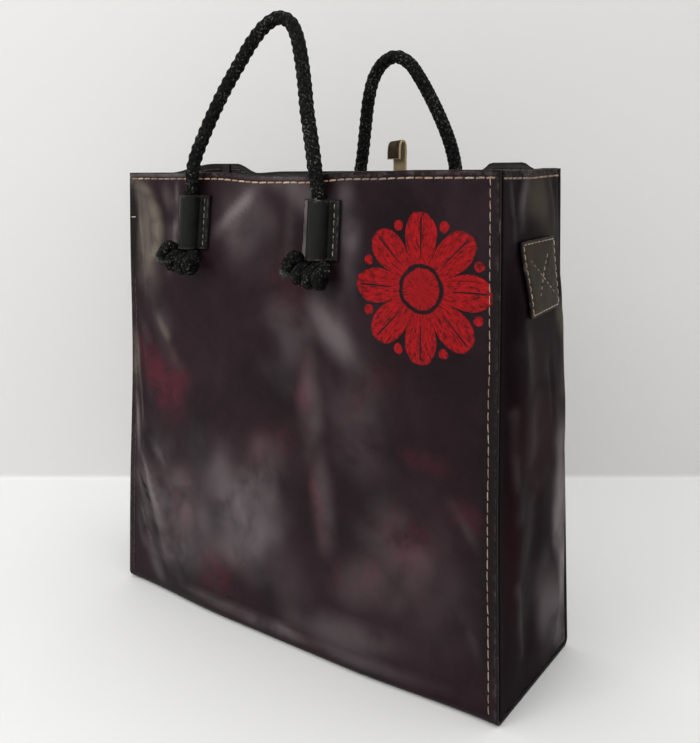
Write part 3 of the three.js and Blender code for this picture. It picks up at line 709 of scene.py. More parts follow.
class Surface:
    """Blocks of points and faces that make up one mesh. A face has a material number."""

    def __init__(self):
        self.points = []
        self.blocks = []
        self.values = {}
        self.count = 0

    def add(self, points, *blocks, **values):
        """Adds points, with (faces, material) blocks that number them from 0, and values at the points."""
        for faces, material in blocks:
            self.blocks.append((np.asarray(faces) + self.count, material))
        self.points.append(points)
        for name in set(self.values) | set(values):
            rows = self.values.setdefault(name, [np.zeros(self.count)] if self.count else [])
            rows.append(np.asarray(values.get(name, np.zeros(len(points))), float))
        self.count += len(points)

    def add_shell(self, points, faces, thickness, **values):
        """A sheet of even thickness: both sides half of it off the middle along the normals, and every
        open edge closed by an arc that bulges outwards by EDGE_ROUND times half the thickness.
        Material 0 is the outer side, 1 the inner side and 2 the edge."""
        count = len(points)
        normals = vertex_normals(points, faces)
        half = thickness / 2
        edges = np.concatenate([faces[:, [k, (k + 1) % 4]] for k in range(4)])
        forward = edges[:, 0] * count + edges[:, 1]
        backward = edges[:, 1] * count + edges[:, 0]
        edges = edges[~np.isin(forward, backward)]
        along = points[edges[:, 1]] - points[edges[:, 0]]
        outward = np.zeros_like(points)
        for end in (0, 1):
            np.add.at(outward, edges[:, end], unit(np.cross(along, normals[edges[:, end]])))
        outward = unit(outward)
        rim, place = np.unique(edges, return_inverse=True)
        place = place.reshape(edges.shape)
        bulge = half * EDGE_ROUND
        pulled = points.copy()
        pulled[rim] -= outward[rim] * bulge
        layers = [pulled + normals * half, pulled - normals * half]
        for k in range(1, EDGE_STEPS):
            angle = math.pi * k / EDGE_STEPS
            layers.append(
                pulled[rim] + outward[rim] * bulge * math.sin(angle) + normals[rim] * half * math.cos(angle)
            )
        arcs = [2 * count + k * len(rim) + place for k in range(EDGE_STEPS - 1)]
        numbers = [edges, *arcs, edges + count]
        strips = [
            np.stack([a[:, 1], a[:, 0], b[:, 0], b[:, 1]], axis=1) for a, b in zip(numbers, numbers[1:])
        ]
        spread = {name: np.concatenate([v, v] + [v[rim]] * (EDGE_STEPS - 1)) for name, v in values.items()}
        self.add(
            np.concatenate(layers),
            (faces, 0),
            (faces[:, ::-1] + count, 1),
            (np.concatenate(strips), 2),
            **spread,
        )

    def add_tube(self, rings, **values):
        """A closed tube from rings of points, with a flat fan at each end."""
        count, around = rings.shape[:2]
        ends = [rings[0].mean(axis=0), rings[-1].mean(axis=0)]
        points = np.concatenate([rings.reshape(-1, 3), ends])
        k = np.arange(around)
        after = (k + 1) % around
        last = (count - 1) * around
        centre = count * around
        first_cap = np.stack([np.full(around, centre), k, after], axis=1)
        last_cap = np.stack([np.full(around, centre + 1), last + after, last + k], axis=1)
        values = {name: np.concatenate([v.reshape(-1), v[0, :1], v[-1, :1]]) for name, v in values.items()}
        self.add(
            points,
            (grid_faces(count, around, around=True)[:, ::-1], 0),
            (first_cap[:, ::-1], 0),
            (last_cap[:, ::-1], 0),
            **values,
        )

    def mesh_object(self, name, materials):
        """Writes the mesh in metres and makes its object."""
        mesh = bpy.data.meshes.new(name)
        points = np.concatenate(self.points) * MM
        loops = np.concatenate([faces.reshape(-1) for faces, _ in self.blocks])
        totals = np.concatenate([np.full(len(faces), faces.shape[1]) for faces, _ in self.blocks])
        numbers = np.concatenate([np.full(len(faces), material) for faces, material in self.blocks])
        mesh.vertices.add(len(points))
        mesh.vertices.foreach_set("co", points.astype(np.float32).reshape(-1))
        mesh.loops.add(len(loops))
        mesh.loops.foreach_set("vertex_index", loops.astype(np.int32))
        mesh.polygons.add(len(totals))
        starts = np.concatenate([[0], np.cumsum(totals)[:-1]])
        mesh.polygons.foreach_set("loop_start", starts.astype(np.int32))
        for material in materials:
            mesh.materials.append(material)
        numbers = np.minimum(numbers, len(materials) - 1)
        mesh.polygons.foreach_set("material_index", numbers.astype(np.int32))
        mesh.polygons.foreach_set("use_smooth", np.full(len(totals), True))
        for key, rows in self.values.items():
            attribute = mesh.attributes.new(key, "FLOAT", "POINT")
            attribute.data.foreach_set("value", np.concatenate(rows).astype(np.float32))
        mesh.update(calc_edges=True)
        mesh.validate()
        piece = bpy.data.objects.new(name, mesh)
        bpy.context.scene.collection.objects.link(piece)
        return piece

    def build(self, name, materials, replaces=()):
        """Makes a piece of the bag, which rides on the frame."""
        piece = self.mesh_object(name, materials)
        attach(piece, "root")
        if replaces:
            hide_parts(*replaces)
        return piece


def leather(outer):
    """Materials of a piece of leather: its outer side, its inner side and its cut edge."""
    return [outer(), flesh_side(), burnished_edge()]


def leather_piece(name, solid, points, thickness, materials, marks, flip=False):
    """A piece from a grid of points and the marks at them. flip turns its outer side round."""
    faces = grid_faces(*points.shape[:2])
    values = {key: value.reshape(-1) for key, value in marks.items()}
    surface = Surface()
    surface.add_shell(points.reshape(-1, 3), faces[:, ::-1] if flip else faces, thickness, **values)
    return surface.build(name, materials, [solid])


# Body panel


def body_columns():
    """Columns across the body: close together over the borders and seams, wider in the middle."""
    near = 0.94
    border = np.linspace(2, 1, BORDER_POINTS, endpoint=False)
    beside = np.linspace(1, near, SEAM_POINTS, endpoint=False)
    half = np.concatenate([border, beside])
    middle = np.linspace(-near, near, MIDDLE_POINTS)
    return np.concatenate([-half, middle, half[::-1]])


def face_rows():
    """Rows down a face, from the rim at 0 to the fold at 1, closer below the rim."""
    near = 0.025
    below_rim = np.linspace(0, near, RIM_POINTS, endpoint=False)
    return np.concatenate([below_rim, np.linspace(near, 1, FACE_POINTS)])


def body_face(face):
    """Points and marks of the front or back, row by row from the rim to the fold."""
    u = body_columns()[None, :]
    t = face_rows()[:, None]
    guess = column_x(face, u, mix(HEIGHT, FOLD_TOP, t))
    z = mix(rim_height(face, guess), FOLD_TOP, t)
    x = column_x(face, u, z)
    points = surface_point(face, x, z)
    marks = {kind: marked(kind, face, x, z) for kind in MARKS}
    # Wax bloom with painted sheen, and painted sheen along the broad creases' crests
    marks["bloom"] = marks["bloom"] + crest_bloom(face, x, z)
    marks |= {
        # Painted shade along the groove above the rim's stitches
        "groove": rim_groove(face, x, z),
        # Rub on the fine creases' crests, with a painted highlight
        "crest": crest_wear(face, x, z) * smooth(seam_distance(face, x, z) / 12),
        "rim": hill((rim_height(face, x) - z) / 4) + hill((np.abs(u) - 2) / 0.35),
    }
    return points, marks


def rim_groove(face, x, z):
    """1 along the groove pressed just above the rim's stitches."""
    size = bpy.context.scene.tote_sizes
    below = rim_height(face, x) - z
    return hill((below - size.rim_stitch_drop / MM + RIM_GROOVE_ABOVE) / 0.6)


def marked(kind, face, a, z):
    """Strength of the finish's marks of one kind: soft turned ovals, each ragged by a slow undulation."""
    total = np.zeros_like(a + z)
    for k, row in enumerate(MARKS[kind].get(face, [])):
        angle = math.radians(row.turn)
        along = (a - row.a) * math.cos(angle) + (z - row.z) * math.sin(angle)
        beside = (z - row.z) * math.cos(angle) - (a - row.a) * math.sin(angle)
        along = along + row.wide * 0.35 * waves(a + 200, z, 16, 20 + k)
        beside = beside + row.high * 0.3 * waves(z, a + 200, 18, 40 + k)
        oval = hill(np.hypot(along / row.wide, beside / row.high) ** 1.4)
        total = np.maximum(total, row.strength * oval)
    return np.clip(total, 0, 1.6)


def crest_wear(face, a, z):
    """Where the fine creases' crests are rubbed and carry a painted highlight, from 0 to 1."""
    return np.clip(sum(ridge(a, z, row) for row in FINE_CREASES[face]), 0, 1)


def crest_bloom(face, a, z):
    """Painted sheen along the broad creases' crests."""
    return 0.3 * np.clip(sum(ridge(a, z, row) for row in CREASES[face]) / 2, 0, 1)


def fold_rows(face):
    """Quarter-round fold from a face to the base."""
    u = body_columns()[None, :]
    angle = np.linspace(0, math.pi / 2, FOLD_POINTS)[1:, None]
    x = column_x(face, u, FOLD_TOP)
    y = OUT[face] * (foot_depth(face, x) + FOLD_RADIUS * np.cos(angle))
    return stack(x, y, FOLD_TOP - FOLD_RADIUS * np.sin(angle))


def base_rows():
    """Flat base between the two folds."""
    u = body_columns()[None, :]
    t = np.linspace(0, 1, BASE_POINTS)[1:-1, None]
    x = mix(column_x("front", u, FOLD_TOP), column_x("back", u, FOLD_TOP), t)
    y = mix(-foot_depth("front", x), foot_depth("back", x), t)
    return stack(x, y, LEATHER / 2)


def make_body():
    """The front, base and back in one piece: face grids joined by the folds and the flat base."""
    front, front_marks = body_face("front")
    back, back_marks = body_face("back")
    turn = [fold_rows("front"), base_rows(), fold_rows("back")[::-1]]
    points = np.concatenate([front, *turn, back[::-1]])
    plain = np.zeros((len(points) - len(front) - len(back), points.shape[1]))
    marks = {key: np.concatenate([front_marks[key], plain, back_marks[key][::-1]]) for key in front_marks}
    name = "body_leather"
    piece = leather_piece(name, "body_panel", points, LEATHER, leather(body_leather), marks)


# Gussets


def gusset_grids(side):
    """The bulging panel and the flange that turns inwards round it, as two grids that share the
    outline's points. The bend is a quarter round."""
    near = 0.03
    below_rim = np.linspace(0, near, GUSSET_RIM_POINTS, endpoint=False)
    rim_t = np.concatenate([below_rim, np.linspace(near, 1, GUSSET_HIGH_POINTS)])[:, None]
    corner_y = half_depth(FOLD_TOP) - FOLD_RADIUS
    corner_radius = FOLD_RADIUS - FLANGE_INSET - BEND_RADIUS
    t = np.linspace(-1, 1, GUSSET_WIDE_POINTS)[None, :]
    # The half width depends on the height and the height on y, so two rounds settle both
    z = mix(gusset_rim(side, t * gusset_half_width(HEIGHT)), FOLD_TOP, rim_t)
    for _ in range(2):
        y = t * gusset_half_width(z)
        z = mix(gusset_rim(side, y), FOLD_TOP, rim_t)
    turn = np.linspace(0, math.pi / 2, 4)[1:, None]
    y = np.concatenate([y, t * (corner_y + corner_radius * np.cos(turn))])
    z = np.concatenate([z, 0 * t + FOLD_TOP - corner_radius * np.sin(turn)])
    panel = gusset_point(side, y, z)
    out_y = np.concatenate([np.ones(len(rim_t)), np.cos(turn[:, 0])])
    out_z = np.concatenate([np.zeros(len(rim_t)), -np.sin(turn[:, 0])])
    foot = panel[-1, 1:-1]
    border = np.concatenate([panel[:, 0], foot, panel[::-1, -1]])
    outwards_y = np.concatenate([-out_y, np.zeros(len(foot)), out_y[::-1]])[:, None]
    outwards_z = np.concatenate([out_z, -np.ones(len(foot)), out_z[::-1]])[:, None]
    sign = ACROSS[side]
    in_front = border[:, 1:2] < 0
    low = border[:, 2:3]
    end = np.where(in_front, edge_x("front", side, low), edge_x("back", side, low)) - FLANGE_REACH
    angle = np.linspace(0, math.pi / 2, 6)[None, :]
    bend_out = BEND_RADIUS * np.sin(angle) + 0 * end
    bend_x = np.abs(border[:, :1]) - BEND_RADIUS * (1 - np.cos(angle))
    flat = np.linspace(0, 1, 6)[None, 1:]
    flat_x = mix(bend_x[:, -1:], end, flat)
    away = np.concatenate([bend_out, BEND_RADIUS + 0 * flat_x], axis=1)
    x = sign * np.concatenate([bend_x, flat_x], axis=1)
    flange = stack(x, border[:, 1:2] + outwards_y * away, border[:, 2:3] + outwards_z * away)
    return panel, flange


def make_gusset(side):
    """A side panel whose edges and foot turn inwards into a flange that is sewn inside the body."""
    panel, flange = gusset_grids(side)
    points = np.concatenate([panel.reshape(-1, 3), flange.reshape(-1, 3)])
    panel_faces = grid_faces(*panel.shape[:2])
    flange_faces = grid_faces(*flange.shape[:2]) + panel.shape[0] * panel.shape[1]
    if side == "right":
        flange_faces = flange_faces[:, ::-1]
    else:
        panel_faces = panel_faces[:, ::-1]
    y, z = panel[..., 1], panel[..., 2]
    # Burgundy dye, wax bloom with painted sheen, painted olive-grey reflections, and crest rub with a painted
    # highlight
    marks = {kind: marked(kind, side, y, z) for kind in ("burgundy", "bloom", "olive")}
    marks["bloom"] = marks["bloom"] + 0.5 * crest_bloom(side, y, z)
    marks["crest"] = crest_wear(side, y, z)
    marks["rim"] = hill((gusset_rim(side, y) - z) / 4)
    plain = np.zeros(flange.shape[0] * flange.shape[1])
    welded, faces, first = weld(points, np.concatenate([panel_faces, flange_faces]))
    values = {key: np.concatenate([value.reshape(-1), plain])[first] for key, value in marks.items()}
    surface = Surface()
    surface.add_shell(welded, faces, LEATHER, **values)
    name = f"gusset_leather_{side}"
    piece = surface.build(name, leather(gusset_leather), [f"gusset_{side}"])


def patch_points(side, a, b, off):
    """Points of the patch: a across it, b up it, a given distance off the gusset."""
    place = PATCH_PLACES[side]
    y = place.y + a * math.cos(place.turn) - b * math.sin(place.turn)
    z = place.z + a * math.sin(place.turn) + b * math.cos(place.turn)
    return off_gusset(side, y, z, off)


def make_patch(side):
    """A square patch that follows the gusset, slightly quilted by its stitches."""
    t = np.linspace(-1, 1, 45)
    a, b = np.meshgrid(t * PATCH_WIDTH / 2, -t * PATCH_HEIGHT / 2)
    ragged = 1 + 0.012 * waves(a + 50, b + 50, 9, 11)
    a, b = a * ragged, b * ragged
    inwards = PATCH_WIDTH / 2 - np.maximum(np.abs(a), np.abs(b))
    inner = hill((inwards - 1.9) / 1.4)
    cross = hill((np.abs(a) - np.abs(b)) / 1.8) * (np.abs(a) < PATCH_CROSS_REACH)
    bulge = PATCH_QUILT * smooth(inwards / 6) - PATCH_ROW_DEPTH * inner - PATCH_CROSS_DEPTH * cross
    off = PATCH_CLEAR + PATCH_LEATHER / 2 + bulge + 0.08 * waves(a + 50, b + 50, 5, 12)
    points = patch_points(side, a, b, off)
    marks = {"rim": hill(inwards / 1.8), "crest": -cross}
    name, solid, materials = f"patch_leather_{side}", f"side_patch_{side}", leather(patch_leather)
    flip = side == "left"
    piece = leather_piece(name, solid, points, PATCH_LEATHER, materials, marks, flip)


# Rope tabs and the closing strap


def tab_x(tab, z):
    """Middle of a tab at a height."""
    return mix(tab.bottom_x, tab.top_x, (z - tab.bottom_z) / (tab.top_z - tab.bottom_z))


def tab_section():
    """Across, and off the face, in the middle of a tab's leather: a round tunnel between two flanges."""
    flat = TAB_CLEAR + TRIM_LEATHER / 2
    foot = [
        (-TUNNEL_RADIUS - TAB_FLANGE, flat),
        (-TUNNEL_RADIUS - TAB_FLANGE * 0.55, flat),
        (-TUNNEL_RADIUS - TAB_FLANGE * 0.22, flat + 0.1),
        (-TUNNEL_RADIUS - 0.35, flat + 0.9),
    ]
    angles = np.radians(np.linspace(196, -16, 15))
    tunnel = np.stack([TUNNEL_RADIUS * np.cos(angles), ROPE_OFF + TUNNEL_RADIUS * np.sin(angles)], axis=1)
    mirrored = [(-across, off) for across, off in reversed(foot)]
    return spline(np.concatenate([foot, tunnel, mirrored]), 0.55)


def make_tab(face, tab):
    """A strip shaped over the rope, stitched down on both sides: its section swept down the face."""
    section = tab_section()
    z = np.linspace(tab.top_z, tab.bottom_z, 56)[:, None]
    across, off = section[None, :, 0], section[None, :, 1]
    tunnel = smooth((TUNNEL_RADIUS + 1 - np.abs(across)) / 4)
    seed = 160 + int(tab.top_x)
    handled = 0.16 * waves(across + 30, z, 6, seed) * tunnel + 0.05 * waves(across + 30, z, 2.6, seed + 1)
    mouth = 0.25 * tunnel * (hill((z - tab.top_z) / 2.5) + hill((z - tab.bottom_z) / 2.5))
    past = np.abs(across) - TUNNEL_RADIUS - TAB_FLANGE
    edge = 0.2 * waves(z, across * 0 + 3, 7, seed + 2) * hill(past / 1.5)
    points = off_face(face, tab_x(tab, z) + across + edge, z, off + handled + mouth)
    rim = hill(past / 1.3) + hill((z - tab.top_z) / 1.2) + hill((z - tab.bottom_z) / 1.2)
    crest = 0.05 * smooth((off - ROPE_OFF - 3) / 3) + 0 * z
    # Painted highlight: the stripe along the left flange, which tilts towards the light, kept in the crest
    # mask
    crest = crest + 1.6 * hill((across + TUNNEL_RADIUS + TAB_FLANGE * 0.75) / 2.6)
    crest = crest + 0.12 * hill((across - TUNNEL_RADIUS - 5) / 1.2)
    marks = {"rim": rim, "crest": crest}
    which, materials, flip = f"{face}_{tab.name}", leather(tab_leather), face == "back"
    name, solid = f"tab_leather_{which}", f"rope_tab_{which}"
    piece = leather_piece(name, solid, points, TRIM_LEATHER, materials, marks, flip)


def make_strap():
    """The closing strap: a strip swept along its run, from inside the back over the rim and down again."""
    run = spline(STRAP_RUN, 0.8)
    across = np.linspace(-1, 1, 15)[None, :]
    z = run[:, :1]
    x = STRAP_X + run[:, 2:3] + across * STRAP_WIDTH / 2
    inside = face_point("back", x, np.minimum(z, HEIGHT) + 0 * x)[..., 1] - LEATHER / 2
    cup = 0.35 * np.square(across) * smooth((z - 300) / 12) + 0.1 * waves(x, z, 5, 90)
    y = inside - STRAP_CLEAR - TRIM_LEATHER / 2 - run[:, 1:2] - cup
    slant = 0.12 * across * STRAP_WIDTH / 2 * smooth((z - 312) / 8)
    points = stack(x, y, z + slant)
    marks = {"rim": hill((np.abs(across) - 1) / 0.18) + 0 * x}
    name, materials = "strap_leather", [strap_grain(), strap_flesh(), strap_edge()]
    piece = leather_piece(name, "closing_strap", points, TRIM_LEATHER, materials, marks)


# Rope


def tube_frames(path):
    """Two directions across the path at each point. The first is carried along it without twist."""
    tangents = unit(np.gradient(path, axis=0))
    first = np.zeros_like(path)
    carried = np.array([0.0, 1.0, 0.0])
    for i, tangent in enumerate(tangents):
        carried = unit(carried - tangent * (carried @ tangent))
        first[i] = carried
    return first, np.cross(tangents, first)


def braid_height(turn, along, strands, spacing):
    """Height of a round braid from 0 to 1. Strands wind both ways round the rope; each is a rounded
    ridge, and at every crossing one family rises over the other, turn and turn about."""
    a = strands * turn / (2 * math.pi) + along / spacing
    b = strands * turn / (2 * math.pi) - along / spacing
    sign = 1 - 2 * ((np.floor(a) + np.floor(b)) % 2)
    fa, fb = a - np.floor(a) - 0.5, b - np.floor(b) - 0.5
    ridge_a = np.sqrt(np.clip(1 - np.square(1.9 * fa), 0, 1)) * 0.55 + 0.45 * sign * np.cos(math.pi * fb)
    ridge_b = np.sqrt(np.clip(1 - np.square(1.9 * fb), 0, 1)) * 0.55 - 0.45 * sign * np.cos(math.pi * fa)
    return np.maximum(ridge_a, ridge_b)


def braided_rings(path, radius, ends=(0.0, 0.0)):
    """Rings of a braided rope along the path, in a radius that the braid's valleys cut into.
    ends rounds the first and last rings over that length."""
    size = bpy.context.scene.tote_sizes
    first, second = tube_frames(path)
    along = run_along(path)
    turn = np.linspace(0, 2 * math.pi, 64, endpoint=False)[None, :]
    height = braid_height(turn, along[:, None], size.braid_strands, size.braid_spacing / MM)
    around = radius - size.braid_depth / MM * (1 - height)
    for length, distance in zip(ends, (along, along[-1] - along)):
        if length:
            t = np.clip(distance / length, 0, 1)[:, None]
            around = around * np.sqrt(np.clip(1 - np.square(1 - t), 0.02, 1))
    ring = first[:, None] * np.cos(turn)[..., None] + second[:, None] * np.sin(turn)[..., None]
    return path[:, None] + ring * around[..., None], height


def handle_route(face):
    """Route of a rope handle: up through the left tab, over the arch and down through the right one."""
    left, right = TABS[face]

    def through(tab):
        heights = np.array([tab.top_z, (tab.top_z + tab.bottom_z) / 2, tab.bottom_z + 2.0])
        return off_face(face, tab_x(tab, heights), heights, ROPE_OFF)

    return np.concatenate([through(left)[::-1], ARCHES[face], through(right)])


def make_handle(face):
    """A braided rope from knot to knot, swept along its route."""
    path = spline(handle_route(face), 0.8)
    rings, height = braided_rings(path, ROPE_RADIUS + STRAND_RISE)
    surface = Surface()
    surface.add_tube(rings, valley=1 - height)
    name = f"rope_{face}"
    piece = surface.build(name, [black_braid()], [f"rope_handle_{face}"])
    return piece, path


def knot_route(face, tab):
    """Route of a stopper knot: out of the tab, over to its right end, round a level barrel towards the
    left, and into a short tail. The barrel's turns are a helix that rises a little to the left."""
    turns = np.linspace(0, KNOT_TURNS, 19)
    across = mix(KNOT_ENDS[0], KNOT_ENDS[1], turns / KNOT_TURNS)
    angle = 2 * math.pi * turns
    uneven = 0.9 * waves(across + 40, across * 0 + abs(tab.bottom_x), 5, 61)
    lift = smooth((-1.5 - across) / 12)
    reach = KNOT_TURN_RADIUS + KNOT_SWELL * lift
    up = -KNOT_BELOW + KNOT_LIFT * lift + (reach + uneven) * np.cos(angle)
    off = KNOT_OFF + KNOT_SWELL * lift + reach * np.sin(angle)
    start = np.array([(0, 2, ROPE_OFF), (0.2, -1, ROPE_OFF + 0.3), (5.0, -3.0, ROPE_OFF + 2)])
    route = np.concatenate([start, np.stack([across, up, off], axis=1), KNOT_TAIL])
    return off_face(face, tab.bottom_x + route[:, 0], tab.bottom_z + route[:, 1], route[:, 2])


def make_knot(face, tab):
    """A barrel knot in the rope's end, with its short tail frayed."""
    path = spline(knot_route(face, tab), 0.8)
    rings, height = braided_rings(path, KNOT_ROPE_RADIUS, ends=(0.0, 2.5))
    count = len(path)
    fray = smooth((np.arange(count) - count + 9) / 8)[:, None] + 0 * height
    surface = Surface()
    surface.add_tube(rings, valley=1 - height, fray=fray)
    add_whiskers(surface, path[-1], unit(path[-1] - path[-4]), seed=int(abs(tab.bottom_x)))
    name = f"knot_rope_{face}_{tab.name}"
    return surface.build(name, [black_braid()], [f"knot_{face}_{tab.name}"])


def add_whiskers(surface, tip, direction, seed):
    """Loose yarns at a cut end: thin three-sided spikes that fan out of the tip."""
    random = np.random.default_rng(seed)
    spread = unit(direction + random.normal(0, 0.55, (WHISKERS, 3)))
    start = tip + unit(random.normal(0, 1, (WHISKERS, 3))) * 1.9 - direction * 1.6
    length = random.uniform(*WHISKER_LENGTHS, (WHISKERS, 1))
    bend = random.normal(0, 0.35, (WHISKERS, 3))
    t = np.linspace(0, 1, 4)[None, :, None]
    line = start[:, None] + spread[:, None] * length[:, None] * t + bend[:, None] * np.square(t)
    side = unit(np.cross(spread, random.normal(0, 1, (WHISKERS, 3))))
    other = np.cross(spread, side)
    turn = np.linspace(0, 2 * math.pi, 3, endpoint=False)
    ring = side[:, None] * np.cos(turn)[None, :, None] + other[:, None] * np.sin(turn)[None, :, None]
    radius = WHISKER_RADIUS * (1 - 0.75 * t[..., None])
    rings = line[:, :, None] + ring[:, None] * radius
    add_many_tubes(surface, rings, fray=1.0)


def add_many_tubes(surface, tubes, **values):
    """Many alike tubes at once, from an array of tubes, rings and points, each closed at its ends.
    A value is one number, or one for each tube."""
    many, count, around = tubes.shape[:3]
    size = count * around
    start = (np.arange(many) * size)[:, None, None]
    side = (grid_faces(count, around, around=True)[None] + start).reshape(-1, 4)
    k = np.arange(around)
    first = (k[None] + start[:, 0]).reshape(many, around)
    last = (k[::-1][None] + (count - 1) * around + start[:, 0]).reshape(many, around)
    values = {name: np.repeat(np.broadcast_to(v, many), size) for name, v in values.items()}
    surface.add(tubes.reshape(-1, 3), (side[:, ::-1], 0), (first, 0), (last, 0), **values)


# Stitches


def stitch_tubes(line, normals, pitch, thread, seed, share=0.82, slant=0.4):
    """Saddle stitches along a line. Each runs from hole to hole: it rises from below the leather over
    half the thread's thickness, leans by slant, and its two plies make its section an oval that turns."""
    random = np.random.default_rng(seed)
    along = run_along(line)
    many = max(1, int(round(along[-1] / pitch)))
    step = along[-1] / many
    t = np.linspace(0, 1, 7)
    length = step * (share + random.uniform(-0.05, 0.05, (many, 1)))
    middle = (np.arange(many)[:, None] + 0.5) * step + random.uniform(-0.04, 0.04, (many, 1)) * step
    at = middle + (t[None] - 0.5) * length

    def follow(rows):
        return np.stack([np.interp(at, along, rows[:, k]) for k in range(3)], axis=-1)

    place, normal = follow(line), unit(follow(normals))
    tangent = unit(np.gradient(place, axis=1))
    side = np.cross(normal, tangent)
    arch = np.sqrt(np.clip(np.sin(math.pi * t), 0, 1))[None, :, None]
    lean = slant * thread * (t - 0.5)[None, :, None] * (1 + random.uniform(-0.4, 0.4, (many, 1, 1)))
    centre = place + normal * thread * (arch * 0.95 - 0.6) + side * lean
    turn = np.linspace(0, 2 * math.pi, 6, endpoint=False)
    twist = 2 * math.pi * (at / (3.2 * thread))[..., None]
    radius = thread / 2 * (1 + 0.14 * np.cos(2 * (turn[None, None] - twist)))
    radius = radius * (0.55 + 0.45 * arch)
    ring = side[:, :, None] * np.cos(turn)[:, None] + normal[:, :, None] * np.sin(turn)[:, None]
    return centre[:, :, None] + ring * radius[..., None]


def add_stitches(surface, line, normals, pitch, thread, seed, shade=(0.3, 0.7), soil=0.3, **options):
    """Adds one row of stitches. Its material reads their shades, spread over a range, and their soil."""
    tubes = stitch_tubes(np.asarray(line, float), np.asarray(normals, float), pitch, thread, seed, **options)
    shades = np.random.default_rng(seed + 500).uniform(*shade, len(tubes))
    add_many_tubes(surface, tubes, shade=shades, soil=soil)


def face_normals(face, x, z):
    """Outward normals of the front or back, from its slopes."""
    step = 1.0
    across = surface_point(face, x + step, z) - surface_point(face, x - step, z)
    up = surface_point(face, x, z + step) - surface_point(face, x, z - step)
    return -OUT[face] * unit(np.cross(across, up))


def face_row(surface, face, x, z, pitch, thread, seed, inside=False, **options):
    """A row of stitches on the outer or inner side of the front or back."""
    normals = face_normals(face, x, z) * (-1 if inside else 1)
    line = surface_point(face, x, z) + normals * LEATHER / 2
    add_stitches(surface, line, normals, pitch, thread, seed, **options)


def make_rim_stitches():
    """One bold row round the rim, on both sides of the leather. The inner side's rows are darkened, and on
    the front and back the outer row is darker towards both ends."""
    size = bpy.context.scene.tote_sizes
    below, pitch, thread = size.rim_stitch_drop / MM, size.rim_pitch / MM, size.rim_thread / MM
    look = {"shade": (0.0, 0.9), "soil": 0.12, "share": 0.97, "slant": 0.2}
    hidden = look | {"shade": (0.9, 1.0), "soil": 2.0}
    side_look = look | {"shade": (0.4, 1.0), "soil": 0.6}
    surface = Surface()
    for face in FACES:
        left = -edge_x(face, "left", HEIGHT) + RIM_ROW_END
        right = edge_x(face, "right", HEIGHT) - RIM_ROW_END
        ends = (left, *RIM_ROW_SPLITS, right)
        for start, end, soil in zip(ends, ends[1:], RIM_ROW_SOIL):
            x = np.linspace(start, end, 200)
            worn_and_highlight = look | {"soil": soil}
            face_row(surface, face, x, rim_height(face, x) - below, pitch, thread, 101, **worn_and_highlight)
        x = np.linspace(left, right, 400)
        face_row(surface, face, x, rim_height(face, x) - below, pitch, thread, 102, inside=True, **hidden)
    for side in SIDES:
        half = gusset_half_width(HEIGHT)
        y = np.linspace(-half, half, 160)
        z = gusset_rim(side, y) - below
        outer = off_gusset(side, y, z, 0.0 * y)
        normals = unit(outer - gusset_point(side, y, z))
        add_stitches(surface, outer, normals, pitch, thread, 103, **side_look)
        add_stitches(surface, outer - normals * LEATHER, -normals, pitch, thread, 104, **hidden)
    surface.build("rim_stitches", [waxed_thread()])


def make_seam_stitches():
    """Rows that sew the body to each gusset's flange, up both sides and along the foot, and a tack
    across the front's left border, where the row is broken and darkened."""
    size = bpy.context.scene.tote_sizes
    pitch, thread, inset = size.seam_pitch / MM, size.thread / MM, size.seam_inset / MM
    look = {"shade": (0.1, 0.8), "soil": 0.42, "share": 0.96, "slant": 0.4}
    surface = Surface()
    for side in SIDES:
        sign = ACROSS[side]
        for face in FACES:
            broken = (face, side) == ("front", "left")
            outer = look | {"shade": (0.9, 1.0), "soil": 2.0} if broken else look
            for low, high in BORDER_ROWS if broken else SEAM_ROWS:
                z = np.linspace(low, high, 400)
                x = sign * (edge_x(face, side, z) - inset) + 0.25 * waves(z, 0 * z, 14, 110)
                face_row(surface, face, x, z, pitch, thread, 111, **outer)
            z = np.linspace(*SEAM_ROWS[0], 400)
            x = sign * (edge_x(face, side, z) - inset)
            away = stack(0.0, -OUT[face], 0.0 * z)
            behind = face_point(face, x, z) + away * (LEATHER * 1.5 + GAP)
            add_stitches(surface, behind, away, pitch, thread, 112, **look)
        y = np.linspace(-1, 1, 120) * (half_depth(FOLD_TOP) - FOLD_RADIUS - 1)
        x = sign * (edge_x("front", side, 0.0) - inset)
        down = stack(0.0, 0.0, -1.0 + 0 * y)
        add_stitches(surface, stack(x, y, 0.0), down, pitch, thread * 0.8, 113, **look)
        add_stitches(surface, stack(x, y, LEATHER * 2 + GAP), -down, pitch, thread, 114, **look)
    tack = np.linspace(*TACK_RUN, 12)
    height = TACK_HEIGHT + 0 * tack
    pale = {"shade": (0.1, 0.2), "soil": 0.1, "share": 1.0}
    face_row(surface, "front", tack, height, 5, thread * 1.3, 116, **pale)
    surface.build("seam_stitches", [waxed_thread()])


def make_tab_stitches():
    """Two rows down each tab, and their other side inside the bag."""
    size = bpy.context.scene.tote_sizes
    pitch, thread = size.tab_pitch / MM, size.thread / MM * 0.9
    surface = Surface()
    for face in FACES:
        for tab in TABS[face]:
            z = np.linspace(tab.top_z - 2, tab.bottom_z + 2, 80)
            for side in (-1, 1):
                x = tab_x(tab, z) + side * (TUNNEL_RADIUS + TAB_FLANGE * 0.52)
                normals = stack(0.0, OUT[face], 0.0 * z)
                line = off_face(face, x, z, TAB_CLEAR + TRIM_LEATHER)
                add_stitches(surface, line, normals, pitch, thread, 121 + side, shade=(0, 0.3), soil=0.75)
                face_row(surface, face, x, z, pitch, thread, 125, inside=True)
    surface.build("tab_stitches", [waxed_thread()])


